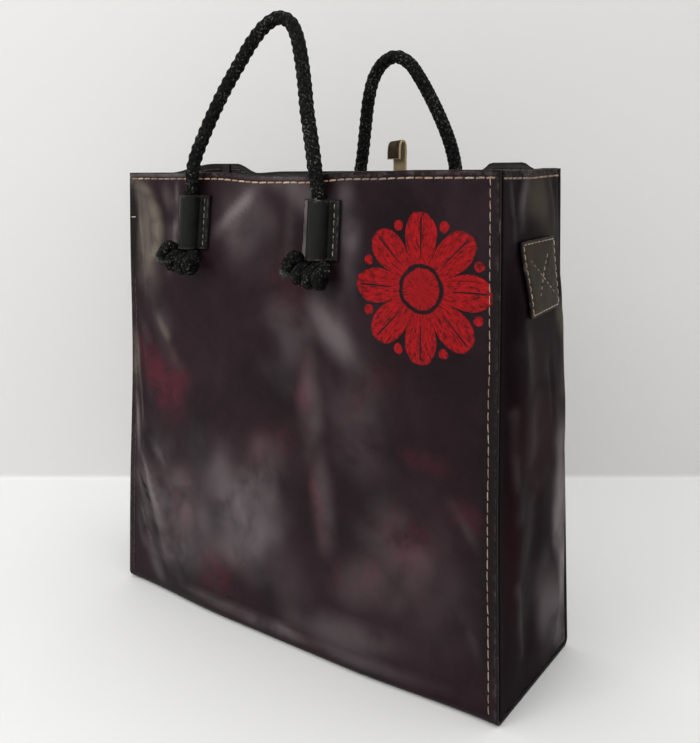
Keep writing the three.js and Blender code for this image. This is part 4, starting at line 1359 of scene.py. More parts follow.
def make_patch_stitches():
    """A row inside the four edges of each patch and a cross in its middle."""
    size = bpy.context.scene.tote_sizes
    pitch, thread = size.patch_pitch / MM, size.thread / MM
    surface = Surface()
    a, b = PATCH_WIDTH / 2 - PATCH_ROW_INSET, PATCH_HEIGHT / 2 - PATCH_ROW_INSET
    corners = [(-a, b), (a, b), (a, -b), (-a, -b), (-a, b)]
    runs = [*zip(corners, corners[1:]), *PATCH_CROSS]
    for side in SIDES:
        for k, (start, end) in enumerate(runs):
            t = np.linspace(0, 1, 60)
            across, up = mix(start[0], end[0], t), mix(start[1], end[1], t)
            line = patch_points(side, across, up, PATCH_CLEAR + PATCH_LEATHER)
            normals = unit(line - patch_points(side, across, up, 0.0))
            add_stitches(surface, line, normals, pitch, thread, 131 + k, shade=(0, 0.5), soil=0.42)
            inner = patch_points(side, across, up, -LEATHER)
            add_stitches(surface, inner, -normals, pitch, thread, 141 + k)
    surface.build("patch_stitches", [waxed_thread()])


def make_strap_stitches():
    """Two short rows that hold the strap inside the back."""
    size = bpy.context.scene.tote_sizes
    pitch, thread = size.tab_pitch / MM, size.thread / MM * 0.9
    surface = Surface()
    z = np.linspace(*STRAP_ROW, 50)
    for side in (-1, 1):
        x = STRAP_X + side * (STRAP_WIDTH / 2 - STRAP_ROW_INSET) + 0 * z
        normals = stack(0.0, -1.0, 0.0 * z)
        line = face_point("back", x, z) + normals * (LEATHER / 2 + STRAP_CLEAR + TRIM_LEATHER)
        add_stitches(surface, line, normals, pitch, thread, 151 + side)
        face_row(surface, "back", x, z, pitch, thread, 155)
    surface.build("strap_stitches", [waxed_thread()])


# Materials


class Nodes:
    """A short way to place nodes in a tree and join them."""

    def __init__(self, tree):
        self.tree = tree

    def add(self, kind, inputs=None, **settings):
        """A node with its settings, its inputs set to values or joined to sockets."""
        item = self.tree.nodes.new(kind)
        for name, value in settings.items():
            setattr(item, name, value)
        for name, value in (inputs or {}).items():
            self.give(item.inputs[name], value)
        return item

    def give(self, socket, value):
        """Joins a socket to another, or sets it."""
        if isinstance(value, bpy.types.NodeSocket):
            self.tree.links.new(value, socket)
        else:
            socket.default_value = value

    def math(self, operation, a, b=0.0, clamp=False):
        """The result of a sum on values or sockets."""
        return self.add("ShaderNodeMath", {0: a, 1: b}, operation=operation, use_clamp=clamp).outputs[0]

    def times(self, a, b, clamp=False):
        """a times b."""
        return self.math("MULTIPLY", a, b, clamp)

    def plus(self, a, b):
        """a plus b."""
        return self.math("ADD", a, b)

    def minus(self, a, b):
        """a minus b."""
        return self.math("SUBTRACT", a, b)

    def most(self, a, b):
        """The larger of a and b."""
        return self.math("MAXIMUM", a, b)

    def blend(self, factor, a, b):
        """Two colours mixed."""
        item = self.add("ShaderNodeMix", data_type="RGBA")
        self.give(item.inputs[0], factor)
        for index, value in ((6, a), (7, b)):
            joined = isinstance(value, bpy.types.NodeSocket)
            self.give(item.inputs[index], value if joined else colour(value))
        return item.outputs[2]

    def span(self, value, low, high, to_low=0.0, to_high=1.0):
        """A value moved from one range to another, eased at both ends and held beyond them."""
        inputs = {"Value": value, "From Min": low, "From Max": high, "To Min": to_low, "To Max": to_high}
        return self.add("ShaderNodeMapRange", inputs, interpolation_type="SMOOTHSTEP").outputs[0]

    def noise(self, place, scale, detail=4.0, rough=0.5, distortion=0.0):
        """Noise from 0 to 1, its scale in cycles a metre."""
        inputs = {"Vector": place, "Scale": scale, "Detail": detail, "Roughness": rough}
        inputs["Distortion"] = distortion
        return self.add("ShaderNodeTexNoise", inputs).outputs["Fac"]

    def value(self, name):
        """An attribute of the mesh."""
        return self.add("ShaderNodeAttribute", attribute_name=name).outputs["Fac"]


def colour(value):
    """A colour with its alpha, from three parts or four."""
    return (*value[:3], 1.0)


def node_group(inputs, outputs):
    """Makes a node group the first time it is asked for, and finds it by its name after that. It takes
    a place and the named numbers, each with its default. The decorated function gives its name and the
    sockets of its outputs, in the order of their names."""

    def wrap(fill):
        name = fill.__name__.replace("_", " ").capitalize()

        def ask():
            if name in bpy.data.node_groups:
                return bpy.data.node_groups[name]
            tree = bpy.data.node_groups.new(name, "ShaderNodeTree")
            tree.interface.new_socket("Place", in_out="INPUT", socket_type="NodeSocketVector")
            for title, default in inputs.items():
                socket = tree.interface.new_socket(title, in_out="INPUT", socket_type="NodeSocketFloat")
                socket.default_value = default
            for title in outputs:
                tree.interface.new_socket(title, in_out="OUTPUT", socket_type="NodeSocketFloat")
            nodes = Nodes(tree)
            given = nodes.add("NodeGroupInput").outputs
            out = nodes.add("NodeGroupOutput")
            for title, socket in zip(outputs, fill(nodes, given)):
                tree.links.new(socket, out.inputs[title])
            return tree

        return ask

    return wrap


@node_group({"Scale": 900.0, "Wrinkles": 0.5}, ["Height"])
def leather_grain(nodes, given):
    """Leather grain: pores and fine wrinkles as a height, at a scale in cells a metre."""
    place = given["Place"]
    cells = nodes.add("ShaderNodeTexVoronoi", {"Vector": place, "Scale": given["Scale"]}, feature="SMOOTH_F1")
    stretched = nodes.add("ShaderNodeMapping", {"Vector": place, "Scale": (1.0, 1.0, 0.35)})
    wrinkles = nodes.times(nodes.noise(stretched.outputs[0], 260.0, 6.0, 0.6, 0.8), given["Wrinkles"])
    pores = nodes.times(nodes.noise(place, 2600.0, 2.0), 0.25)
    height = nodes.plus(nodes.times(cells.outputs["Distance"], 0.5), wrinkles)
    return [nodes.plus(height, pores)]


@node_group({"Rim": 0.0, "Crest": 0.0, "Amount": 1.0}, ["Mask"])
def rim_and_crest_wear(nodes, given):
    """Wear on rims and crests, with a painted highlight on the crests: a mask broken up by noise."""
    broken = nodes.noise(given["Place"], 220.0, 6.0, 0.65)
    rim = nodes.times(given["Rim"], nodes.span(broken, 0.42, 0.68))
    patchy = nodes.noise(given["Place"], 45.0, 4.0, 0.5)
    crest = nodes.times(given["Crest"], nodes.span(patchy, 0.25, 0.7, 0.1, 0.75))
    return [nodes.times(nodes.most(rim, crest), given["Amount"], clamp=True)]


@node_group({"Scale": 18.0}, ["Clouds", "Specks"])
def dye_mottle(nodes, given):
    """Mottle: slow cloudy variation of dye and wax, with fine speckles, as two masks."""
    clouds = nodes.noise(given["Place"], given["Scale"], 7.0, 0.58, 0.6)
    specks = nodes.noise(given["Place"], 900.0, 3.0, 0.7)
    return [nodes.span(clouds, 0.32, 0.72), nodes.span(specks, 0.62, 0.78)]


@node_group({"X": 0.0, "Z": 0.0, "Radius": 0.04}, ["Mask", "Stroke", "Dark"])
def painted_rosette(nodes, given):
    """A painted rosette on the front: eight petals round a disc, with a dot between each two.
    Petals reach to radius times 0.36 + 0.64 |cos 4a|^0.4 at angle a, and brush strokes run along them."""
    parts = nodes.add("ShaderNodeSeparateXYZ", {0: given["Place"]}).outputs
    wobble = nodes.times(nodes.minus(nodes.noise(given["Place"], 130.0, 3.0), 0.5), 0.09)
    x = nodes.math("DIVIDE", nodes.minus(parts[0], given["X"]), given["Radius"])
    z = nodes.math("DIVIDE", nodes.minus(parts[2], given["Z"]), given["Radius"])
    away = nodes.math("SQRT", nodes.plus(nodes.times(x, x), nodes.times(z, z)))
    away = nodes.plus(away, wobble)
    angle = nodes.math("ARCTAN2", z, x)
    lobes = nodes.math("ABSOLUTE", nodes.math("COSINE", nodes.times(angle, PETALS / 2)))
    reach = nodes.plus(nodes.times(nodes.math("POWER", lobes, 0.4), 0.64), 0.36)
    petals = nodes.span(nodes.minus(reach, away), -0.012, 0.02)
    ring = nodes.span(nodes.math("ABSOLUTE", nodes.minus(away, 0.3)), 0.018, 0.04)
    # Veins along the petals, from outside the disc to short of the tips
    vein = nodes.math("ABSOLUTE", nodes.math("SINE", nodes.times(angle, PETALS / 2)))
    vein = nodes.most(nodes.span(vein, 0.03, 0.09), nodes.minus(1.0, nodes.span(away, 0.42, 0.5)))
    vein = nodes.most(vein, nodes.span(away, 0.9, 0.97))
    mask = nodes.times(nodes.times(petals, ring), vein)
    # Dots between the petals
    sector = 2 * math.pi / PETALS
    turned = nodes.plus(angle, sector / 2)
    folded = nodes.minus(nodes.math("FLOORED_MODULO", turned, sector), sector / 2)
    between = nodes.minus(sector / 2, nodes.math("ABSOLUTE", folded))
    across = nodes.math("POWER", nodes.times(between, 0.9), 2.0)
    along = nodes.math("POWER", nodes.minus(away, 0.88), 2.0)
    dot = nodes.span(nodes.math("SQRT", nodes.plus(across, along)), 0.075, 0.06)
    on_front = nodes.math("LESS_THAN", parts[1], -0.03)
    # Brush strokes: noise stretched along the petals, and bare scratches
    polar = {0: nodes.times(away, 3.0), 1: nodes.times(angle, 5.0), 2: 0.0}
    polar = nodes.add("ShaderNodeCombineXYZ", polar).outputs[0]
    stroke = nodes.noise(polar, 3.2, 6.0, 0.7, 0.4)
    bare = nodes.span(nodes.noise(polar, 7.5, 4.0, 0.75, 1.4), 0.36, 0.43)
    mask = nodes.times(nodes.times(nodes.most(mask, dot), on_front), bare)
    return [mask, nodes.span(stroke, 0.35, 0.7), nodes.span(stroke, 0.48, 0.36)]


def placed(nodes, tree, inputs):
    """Outputs of a group node whose inputs are set or joined."""
    return nodes.add("ShaderNodeGroup", inputs, node_tree=tree).outputs


def new_material(name):
    """An empty material with a Principled shader, its nodes and the object's coordinates."""
    material = bpy.data.materials.new(name)
    material.use_nodes = True
    material.node_tree.nodes.clear()
    nodes = Nodes(material.node_tree)
    shader = nodes.add("ShaderNodeBsdfPrincipled")
    out = nodes.add("ShaderNodeOutputMaterial")
    nodes.tree.links.new(shader.outputs[0], out.inputs[0])
    place = nodes.add("ShaderNodeTexCoord").outputs["Object"]
    return material, nodes, shader, place


def bumped(nodes, shader, height, distance, strength):
    """Feeds a height to the shader's normal."""
    bump = nodes.add("ShaderNodeBump", {"Height": height, "Distance": distance, "Strength": strength})
    nodes.tree.links.new(bump.outputs[0], shader.inputs["Normal"])


def once(make):
    """Makes a material, from its name and the bag's colours, the first time it is asked for, and finds
    it by its name after that."""

    def ask():
        name = make.__name__.replace("_", " ")
        return bpy.data.materials.get(name) or make(name, bpy.context.scene.tote_colours)

    return ask


def waxed_leather(name, dark, light, worn_and_highlight, scale=16.0, gloss=0.42):
    """Waxed leather shared by several pieces: mottled dye, wear on rims and crests with a painted highlight
    on the crests, grain. Its colour and roughness aren't joined to the shader yet, so that a piece can
    change them."""
    material, nodes, shader, place = new_material(name)
    mottle = placed(nodes, dye_mottle(), {"Place": place, "Scale": scale})
    rubbed = {"Place": place, "Rim": nodes.value("rim"), "Crest": nodes.value("crest"), "Amount": 0.8}
    wear_and_highlight = placed(nodes, rim_and_crest_wear(), rubbed)["Mask"]
    base = nodes.blend(wear_and_highlight, nodes.blend(mottle["Clouds"], dark, light), worn_and_highlight)
    rough = nodes.span(mottle["Clouds"], 0.0, 1.0, gloss - 0.07, gloss + 0.1)
    rough = nodes.plus(rough, nodes.times(wear_and_highlight, 0.12))
    grain = placed(nodes, leather_grain(), {"Place": place, "Scale": 900.0, "Wrinkles": 0.6})
    bumped(nodes, shader, grain["Height"], 0.0003, 0.35)
    return material, nodes, shader, place, base, rough, mottle


def set_finish(nodes, shader, base, rough, level=0.09):
    """Gives the shader its colour and roughness, and its even gloss."""
    nodes.give(shader.inputs["Base Color"], base)
    nodes.give(shader.inputs["Roughness"], rough)
    shader.inputs["Specular IOR Level"].default_value = level


def waxed_light(nodes, place, base, look):
    """Lays the grey-mauve wax bloom with its painted sheen, and the painted olive-grey reflections, over a
    colour. Also gives the strength of the bloom and sheen.
    """
    hazy = nodes.noise(place, 26.0, 5.0, 0.5, 0.4)
    patchy = nodes.span(hazy, 0.2, 0.62)
    bloom = nodes.times(nodes.value("bloom"), patchy)
    base = nodes.blend(nodes.times(bloom, 0.62, clamp=True), base, look.bloom)
    olive = nodes.times(nodes.value("olive"), patchy)
    return nodes.blend(nodes.times(olive, 0.7, clamp=True), base, look.olive), bloom


@once
def body_leather(name, look):
    """Plum-black pull-up leather with burgundy marks, wax bloom with painted sheen, painted olive-grey
    reflections, painted shade in the dark marks and along the rim's groove, and a painted rosette.
    """
    material, nodes, shader, place, base, rough, mottle = waxed_leather(
        name, look.body_dark, look.body_light, look.body_worn
    )
    ragged = nodes.noise(place, 70.0, 8.0, 0.65, 1.2)
    burgundy = nodes.times(nodes.value("burgundy"), nodes.span(ragged, 0.3, 0.62))
    base = nodes.blend(nodes.times(burgundy, 0.85), base, look.burgundy)
    base, bloom = waxed_light(nodes, place, base, look)
    base = nodes.blend(nodes.times(mottle["Specks"], 0.08), base, look.bloom)
    # Painted shade from the dark marks and along the groove above the rim's stitches, in the edges' dye
    # colour
    dark = nodes.most(nodes.value("dark"), nodes.times(nodes.value("groove"), 0.85))
    base = nodes.blend(dark, base, look.edge_dark)
    size = bpy.context.scene.tote_sizes
    middle = {"Place": place, "X": size.rosette_x, "Z": size.rosette_z, "Radius": size.rosette_radius}
    paint = placed(nodes, painted_rosette(), middle)
    red = nodes.blend(paint["Stroke"], look.paint_dark, look.paint)
    red = nodes.blend(nodes.times(paint["Dark"], 0.8), red, look.paint_shadow)
    base = nodes.blend(nodes.times(paint["Mask"], 0.96), base, red)
    rough = nodes.plus(rough, nodes.times(bloom, 0.08))
    set_finish(nodes, shader, base, rough)
    return material


@once
def gusset_leather(name, look):
    """The same leather on the sides, painted darker as shade, with wax bloom, painted sheen and painted
    olive-grey reflections.
    """
    material, nodes, shader, place, base, rough, _ = waxed_leather(
        name, look.gusset_dark, look.gusset_light, look.body_worn, scale=22.0, gloss=0.4
    )
    burgundy = nodes.times(nodes.value("burgundy"), 0.6)
    base = nodes.blend(burgundy, base, look.burgundy)
    base, _ = waxed_light(nodes, place, base, look)
    set_finish(nodes, shader, base, rough, level=0.015)
    return material


def plain_leather(name, *tones, **finish):
    """Waxed leather with nothing more laid on it."""
    material, nodes, shader, _, base, rough, _ = waxed_leather(name, *tones, **finish)
    set_finish(nodes, shader, base, rough)
    return material


@once
def patch_leather(name, look):
    """Dark olive-brown leather of the patches."""
    return plain_leather(name, look.patch_dark, look.patch_light, look.patch_worn, scale=60.0, gloss=0.5)


@once
def tab_leather(name, look):
    """Smooth black leather of the tabs. Its crest mask lays the grey of the bloom and sheen on it, as a
    painted highlight along the left flange.
    """
    return plain_leather(name, look.tab_dark, look.tab_light, look.bloom, scale=50.0)


@once
def strap_grain(name, look):
    """Brown-black grain side of the closing strap."""
    return plain_leather(name, look.strap_dark, look.strap_light, look.strap_flesh, scale=120.0, gloss=0.5)


def napped(name, dark, light, rough=0.85):
    """A flesh side: matt, with a short nap of fibres."""
    material, nodes, shader, place = new_material(name)
    clouds = nodes.noise(place, 60.0, 6.0, 0.6)
    base = nodes.blend(nodes.span(clouds, 0.3, 0.7), dark, light)
    nap = nodes.noise(place, 2400.0, 4.0, 0.7)
    base = nodes.blend(nodes.times(nodes.span(nap, 0.5, 0.75), 0.35), base, light)
    set_finish(nodes, shader, base, rough, level=0.25)
    bumped(nodes, shader, nap, 0.0003, 0.5)
    return material


@once
def flesh_side(name, look):
    """Dark grey inner side of the leather."""
    return napped(name, look.flesh_dark, look.flesh_light, 0.62)


@once
def strap_flesh(name, look):
    """Pale olive-tan flesh side of the strap."""
    return napped(name, tuple(0.6 * c for c in look.strap_flesh), look.strap_flesh)


@once
def strap_edge(name, look):
    """Light cut edge of the strap."""
    return napped(name, look.strap_flesh, tuple(min(1, 1.6 * c) for c in look.strap_flesh))


@once
def burnished_edge(name, look):
    """Cut edges, dyed and rubbed smooth, with the tan core showing in places."""
    material, nodes, shader, place = new_material(name)
    broken = nodes.noise(place, 160.0, 6.0, 0.7)
    core = nodes.span(broken, 0.58, 0.74)
    base = nodes.blend(nodes.times(core, 0.6), look.edge_dark, look.edge_core)
    set_finish(nodes, shader, base, nodes.span(broken, 0.3, 0.7, 0.4, 0.6), level=0.15)
    bumped(nodes, shader, nodes.noise(place, 1500.0, 4.0, 0.7), 0.0003, 0.4)
    return material


@once
def black_braid(name, look):
    """Black braided rope: dull yarns with fine fibre lines, painted shade in the braid's valleys, pale
    flecks on the strands' tops that are partly painted glints, and grey frayed ends.
    """
    material, nodes, shader, place = new_material(name)
    yarns = nodes.noise(place, 1900.0, 3.0, 0.6, 1.5)
    base = nodes.blend(nodes.span(yarns, 0.35, 0.7), look.rope_dark, look.rope_light)
    # Painted shade: the braid's valleys darkened
    valley = nodes.span(nodes.value("valley"), 0.35, 1.1)
    base = nodes.blend(nodes.times(valley, 0.8), base, tuple(0.25 * c for c in look.rope_dark))
    # Pale flecks kept to the strands' tops, partly painted glints
    flecks = nodes.noise(place, 700.0, 2.0, 0.7)
    flecks = nodes.times(nodes.span(flecks, 0.56, 0.68), nodes.minus(1.0, valley))
    slow = nodes.span(nodes.noise(place, 60.0, 3.0), 0.38, 0.62, 0.12, 0.5)
    base = nodes.blend(nodes.times(flecks, slow), base, look.rope_fleck)
    frayed = nodes.times(nodes.value("fray"), nodes.span(yarns, 0.4, 0.62))
    base = nodes.blend(nodes.times(frayed, 0.75), base, look.rope_fleck)
    set_finish(nodes, shader, base, 0.62, level=0.06)
    bumped(nodes, shader, yarns, 0.0004, 0.6)
    return material


@once
def waxed_thread(name, look):
    """Waxed linen thread, from cream to tan by the row's shade, soiled in places."""
    material, nodes, shader, place = new_material(name)
    base = nodes.blend(nodes.value("shade"), look.thread_cream, look.thread_tan)
    patchy = nodes.span(nodes.noise(place, 220.0, 5.0, 0.6), 0.35, 0.7)
    soil = nodes.times(nodes.value("soil"), nodes.plus(patchy, 0.5), clamp=True)
    base = nodes.blend(soil, base, look.thread_soil)
    set_finish(nodes, shader, base, 0.55, level=0.5)
    bumped(nodes, shader, nodes.noise(place, 3000.0, 3.0), 0.0001, 0.5)
    return material


@once
def pale_floor(name, look):
    """Plain matt pale floor and backdrop. Its back lets the camera look through it."""
    material, nodes, shader, place = new_material(name)
    height = nodes.add("ShaderNodeSeparateXYZ", {0: place}).outputs[2]
    base = nodes.blend(nodes.span(height, 0.0, 0.004), look.floor, look.backdrop)
    set_finish(nodes, shader, base, 0.9, level=0.1)
    clear = nodes.add("ShaderNodeBsdfTransparent")
    behind = nodes.add("ShaderNodeNewGeometry").outputs["Backfacing"]
    both = nodes.add("ShaderNodeMixShader", {0: behind, 1: shader.outputs[0], 2: clear.outputs[0]})
    out = next(n for n in nodes.tree.nodes if n.bl_idname == "ShaderNodeOutputMaterial")
    nodes.tree.links.new(both.outputs[0], out.inputs[0])
    return material


# Stage


def view_directions():
    """Level directions of the photograph's view: to its right, and away from the camera."""
    yaw = math.radians(CAMERA_YAW)
    return np.array([math.cos(yaw), math.sin(yaw)]), np.array([-math.sin(yaw), math.cos(yaw)])


def make_sweep():
    """Floor and backdrop in one sheet: level, then a quarter round, then upright, swept sideways. A
    second level sheet carries the floor on beyond the backdrop, for views from behind."""
    look = bpy.context.scene.tote_stage
    right, away = view_directions()
    depth, radius = look.backdrop_distance / MM, look.sweep_radius / MM
    angle = np.linspace(0, math.pi / 2, 24)
    profile = np.concatenate(
        [
            [[FLOOR_BACK, 0.0]],
            np.stack([depth - radius + radius * np.sin(angle), radius - radius * np.cos(angle)], axis=1),
            [[depth, BACKDROP_HEIGHT]],
        ]
    )
    beyond = np.array([[depth, 0.0], [FLOOR_BEYOND, 0.0]])
    camera = np.array(CAMERA_PLACE[:2])
    across = np.linspace(-FLOOR_SIDE, FLOOR_SIDE, 9)
    surface = Surface()
    for line in (profile, beyond):
        level = camera + right * across[None, :, None] + away * line[:, None, :1]
        points = np.concatenate([level, np.broadcast_to(line[:, None, 1:], (*level.shape[:2], 1))], axis=2)
        surface.add(points.reshape(-1, 3), (grid_faces(*points.shape[:2])[:, ::-1], 0))
    surface.mesh_object("floor_and_backdrop", [pale_floor()])


def add_light(name, place, size, power, aim):
    """A soft round light that faces its aim. Its place is given to the right of the photograph's view,
    away from the camera and up, in millimetres; its size is in metres."""
    right, away = view_directions()
    level = right * place[0] + away * place[1]
    light = bpy.data.lights.new(name, "AREA")
    light.shape = "DISK"
    light.size = size
    light.energy = power
    lamp = bpy.data.objects.new(name, light)
    lit_from = np.array([level[0], level[1], place[2]])
    lamp.location = lit_from * MM
    direction = np.array(aim) - lit_from
    flat = math.hypot(direction[0], direction[1])
    lamp.rotation_euler = (math.atan2(flat, -direction[2]), 0.0, math.atan2(-direction[0], direction[1]))
    bpy.context.scene.collection.objects.link(lamp)


def make_world():
    """Even pale light from all round."""
    look = bpy.context.scene.tote_stage
    world = bpy.data.worlds.new("Studio")
    bpy.context.scene.world = world
    world.use_nodes = True
    background = world.node_tree.nodes["Background"]
    background.inputs["Color"].default_value = colour(look.world_colour)
    background.inputs["Strength"].default_value = look.world_strength


# Settings


def length(name, description, default):
    """A length in metres, given in millimetres."""
    return FloatProperty(name=name, description=description, default=default * MM, unit="LENGTH", precision=4)


def paint(name, description, default):
    """A colour."""
    return FloatVectorProperty(
        name=name, description=description, default=default, size=3, min=0.0, max=1.0, subtype="COLOR"
    )


def power(name, description, default):
    """A lamp's power."""
    return FloatProperty(name=name, description=description, default=default, min=0.0, unit="POWER")


class ToteSizes(bpy.types.PropertyGroup):
    """Sizes that change the finish but not the frame."""

    crease_depth: FloatProperty(
        name="Crease depth",
        description="Depth of the fine creases, 1 as built",
        default=1.0,
        min=0.0,
        max=2.0,
    )
    thread: length("Thread", "Thickness of the sewing thread", 0.6)
    rim_thread: length("Rim thread", "Thickness of the rim's thread", 1.15)
    rim_pitch: length("Rim pitch", "Stitch length round the rim", 6.2)
    rim_stitch_drop: length("Rim row", "How far the rim's row lies below its edge", 4.6)
    seam_pitch: length("Seam pitch", "Stitch length up the side seams", 6.3)
    seam_inset: length("Seam row", "How far the seams' rows lie from the edge", 5.5)
    tab_pitch: length("Tab pitch", "Stitch length on the rope tabs", 5.0)
    patch_pitch: length("Patch pitch", "Stitch length on the patches", 4.6)
    braid_strands: IntProperty(
        name="Strands", description="Strands of the rope in each direction", default=4, min=3, max=16
    )
    braid_spacing: length("Braid spacing", "Length of rope from one crossing to the next", 6.0)
    braid_depth: length("Braid depth", "Depth of the valleys between strands", 1.5)
    rosette_x: length("Rosette X", "Place of the painted rosette across the front", 99.0)
    rosette_z: length("Rosette Z", "Height of the painted rosette", 236.0)
    rosette_radius: length("Rosette radius", "Reach of the rosette's petals", 43.0)


class ToteColours(bpy.types.PropertyGroup):
    """Colours of the leathers, rope, thread and paint."""

    body_dark: paint("Body, dark", "Deep tone of the body's dye", (0.0080, 0.0034, 0.0048))
    body_light: paint("Body, light", "Light tone of the body's dye", (0.0235, 0.0108, 0.0146))
    # Rubbed body leather; the crests also take it as a painted highlight
    body_worn: paint("Worn body", "Body leather where it is rubbed", (0.095, 0.078, 0.080))
    burgundy: paint("Burgundy", "Burgundy dye marks", (0.088, 0.0130, 0.0230))
    # Grey-mauve of the wax bloom, also the colour of painted sheen and highlights
    bloom: paint("Wax bloom", "Grey-mauve bloom of wax", (0.178, 0.148, 0.157))
    # Painted olive-grey reflection, not a colour of the wax
    olive: paint("Olive wax", "Olive-grey light of the wax", (0.235, 0.198, 0.150))
    # The gussets' tones: the body's leather painted darker as shade
    gusset_dark: paint("Gusset, dark", "Deep tone of the gussets", (0.0042, 0.0018, 0.0026))
    gusset_light: paint("Gusset, light", "Light tone of the gussets", (0.0085, 0.0038, 0.0052))
    patch_dark: paint("Patch, dark", "Deep tone of the patches", (0.013, 0.0082, 0.0046))
    patch_light: paint("Patch, light", "Light tone of the patches", (0.036, 0.0230, 0.0135))
    patch_worn: paint("Worn trim", "Patches and tabs where they are rubbed", (0.085, 0.072, 0.056))
    tab_dark: paint("Tab, dark", "Deep tone of the tabs", (0.0050, 0.0054, 0.0048))
    tab_light: paint("Tab, light", "Light tone of the tabs", (0.0110, 0.0116, 0.0103))
    strap_dark: paint("Strap, dark", "Deep tone of the strap's grain", (0.014, 0.010, 0.006))
    strap_light: paint("Strap, light", "Light tone of the strap's grain", (0.050, 0.036, 0.022))
    strap_flesh: paint("Strap flesh", "Flesh side of the strap", (0.34, 0.27, 0.15))
    flesh_dark: paint("Inside, dark", "Deep tone of the bag's inner side", (0.014, 0.012, 0.013))
    flesh_light: paint("Inside, light", "Light tone of the bag's inner side", (0.034, 0.030, 0.032))
    # Dyed cut edges; also the colour of the body's painted shade
    edge_dark: paint("Edge", "Dyed cut edges", (0.0080, 0.0055, 0.0055))
    edge_core: paint("Edge core", "Bare core of the cut edges", (0.20, 0.165, 0.130))
    rope_dark: paint("Rope, dark", "Deep tone of the rope", (0.0022, 0.0022, 0.0021))
    rope_light: paint("Rope, light", "Light tone of the rope", (0.0060, 0.0062, 0.0060))
    # Pale flecks, partly painted glints on the strands, and frayed ends
    rope_fleck: paint("Rope flecks", "Pale flecks and frayed ends", (0.220, 0.220, 0.210))
    thread_cream: paint("Thread, cream", "Pale thread", (0.66, 0.55, 0.42))
    thread_tan: paint("Thread, tan", "Tan thread", (0.33, 0.155, 0.080))
    thread_soil: paint("Thread, soiled", "Thread where it took up dye", (0.060, 0.034, 0.031))
    paint: paint("Paint", "Bright strokes of the rosette", (0.43, 0.0060, 0.0090))
    paint_dark: paint("Paint, dark", "Deep strokes of the rosette", (0.190, 0.0030, 0.0045))
    paint_shadow: paint("Paint, thin", "Paint where the leather shows through", (0.045, 0.0045, 0.0060))
    floor: paint("Floor", "Floor", (0.92, 0.92, 0.915))
    backdrop: paint("Backdrop", "Backdrop", (0.765, 0.758, 0.748))


class ToteStage(bpy.types.PropertyGroup):
    """Stage and light."""

    backdrop_distance: length("Backdrop", "How far the backdrop stands from the camera", 803.0)
    sweep_radius: length("Sweep", "Radius of the curve from the floor to the backdrop", 5.0)
    world_strength: FloatProperty(
        name="World", description="Strength of the even light", default=0.85, min=0.0
    )
    world_colour: paint("World colour", "Colour of the even light", (1.0, 1.0, 0.99))
    key_power: power("Key", "Power of the key light", 2.8)
    top_power: power("Top", "Power of the overhead light", 2.2)


# Operators


class ToteOperator(bpy.types.Operator):
    """Base of the bag's operators, each with its own make."""

    bl_options = {"REGISTER", "UNDO"}

    def execute(self, context):
        self.make(context)
        return {"FINISHED"}


class TOTE_OT_camera(ToteOperator):
    """Add the camera at the photograph's viewing angle"""

    bl_idname = "tote.camera"
    bl_label = "Camera"

    def make(self, context):
        data = bpy.data.cameras.new("Photograph")
        data.lens = CAMERA_LENS
        data.shift_y = CAMERA_SHIFT
        data.clip_start, data.clip_end = 0.01, 20.0
        camera = bpy.data.objects.new("Photograph", data)
        camera.location = [v * MM for v in CAMERA_PLACE]
        camera.rotation_euler = (math.radians(90 - CAMERA_PITCH), 0.0, math.radians(CAMERA_YAW))
        context.scene.collection.objects.link(camera)
        context.scene.camera = camera


class TOTE_OT_ropes(ToteOperator):
    """Braid the two rope handles and tie their stopper knots"""

    bl_idname = "tote.ropes"
    bl_label = "Rope handles and knots"

    def make(self, context):
        for face in FACES:
            knots = [make_knot(face, tab) for tab in TABS[face]]
            rope, path = make_handle(face)


class TOTE_OT_body(ToteOperator):
    """Shape the front, base and back from one piece of leather"""

    bl_idname = "tote.body"
    bl_label = "Body panel"

    def make(self, context):
        make_body()


class TOTE_OT_gussets(ToteOperator):
    """Shape the two bulging gussets with their flanges"""

    bl_idname = "tote.gussets"
    bl_label = "Gussets"

    def make(self, context):
        for side in SIDES:
            make_gusset(side)


class TOTE_OT_patches(ToteOperator):
    """Lay a square patch on each gusset"""

    bl_idname = "tote.patches"
    bl_label = "Side patches"

    def make(self, context):
        for side in SIDES:
            make_patch(side)


class TOTE_OT_tabs(ToteOperator):
    """Shape the four rope tabs over the ropes"""

    bl_idname = "tote.tabs"
    bl_label = "Rope tabs"

    def make(self, context):
        for face in FACES:
            for tab in TABS[face]:
                make_tab(face, tab)


class TOTE_OT_strap(ToteOperator):
    """Curl the closing strap over the back's rim"""

    bl_idname = "tote.strap"
    bl_label = "Closing strap"

    def make(self, context):
        make_strap()


class TOTE_OT_stitching(ToteOperator):
    """Sew the rim, seams, tabs, patches and strap"""

    bl_idname = "tote.stitching"
    bl_label = "Stitching"

    def make(self, context):
        make_rim_stitches()
        make_seam_stitches()
        make_tab_stitches()
        make_patch_stitches()
        make_strap_stitches()


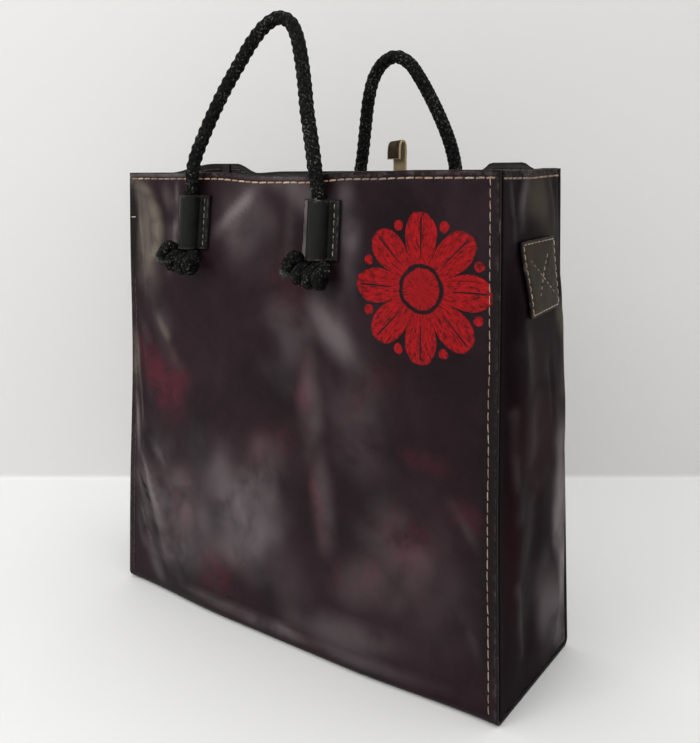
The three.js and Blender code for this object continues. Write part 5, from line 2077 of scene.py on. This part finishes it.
class TOTE_OT_stage(ToteOperator):
    """Add the pale floor and backdrop, the even light and two soft lights"""

    bl_idname = "tote.stage"
    bl_label = "Stage and lights"

    def make(self, context):
        look = context.scene.tote_stage
        context.scene.view_settings.view_transform = "Standard"
        make_sweep()
        make_world()
        add_light("Key", KEY_PLACE, KEY_SIZE, look.key_power, KEY_AIM)
        add_light("Top", TOP_PLACE, TOP_SIZE, look.top_power, TOP_AIM)


class TOTE_PT_panel(bpy.types.Panel):
    """Lists the bag's operators and settings"""

    bl_idname = "TOTE_PT_panel"
    bl_label = "Tote bag"
    bl_space_type = "VIEW_3D"
    bl_region_type = "UI"
    bl_category = "Tote bag"

    def draw(self, context):
        for operator in OPERATORS:
            self.layout.operator(operator.bl_idname)
        for group in (context.scene.tote_sizes, context.scene.tote_colours, context.scene.tote_stage):
            box = self.layout.box()
            for name in group.bl_rna.properties.keys():
                if name not in ("name", "rna_type"):
                    box.prop(group, name)


OPERATORS = (
    TOTE_OT_camera,
    TOTE_OT_ropes,
    TOTE_OT_body,
    TOTE_OT_gussets,
    TOTE_OT_patches,
    TOTE_OT_tabs,
    TOTE_OT_strap,
    TOTE_OT_stitching,
    TOTE_OT_stage,
)
CLASSES = (ToteSizes, ToteColours, ToteStage, *OPERATORS, TOTE_PT_panel)


def register():
    """Registers the classes and puts the settings on the scene."""
    for item in CLASSES:
        bpy.utils.register_class(item)
    bpy.types.Scene.tote_sizes = PointerProperty(type=ToteSizes)
    bpy.types.Scene.tote_colours = PointerProperty(type=ToteColours)
    bpy.types.Scene.tote_stage = PointerProperty(type=ToteStage)


def unregister():
    """Takes the settings and classes away again."""
    del bpy.types.Scene.tote_stage
    del bpy.types.Scene.tote_colours
    del bpy.types.Scene.tote_sizes
    for item in reversed(CLASSES):
        bpy.utils.unregister_class(item)


def main():
    """Builds the bag and its stage."""
    register()
    for operator in OPERATORS:
        group, name = operator.bl_idname.split(".")
        getattr(getattr(bpy.ops, group), name)()


if __name__ == "__main__":
    main()
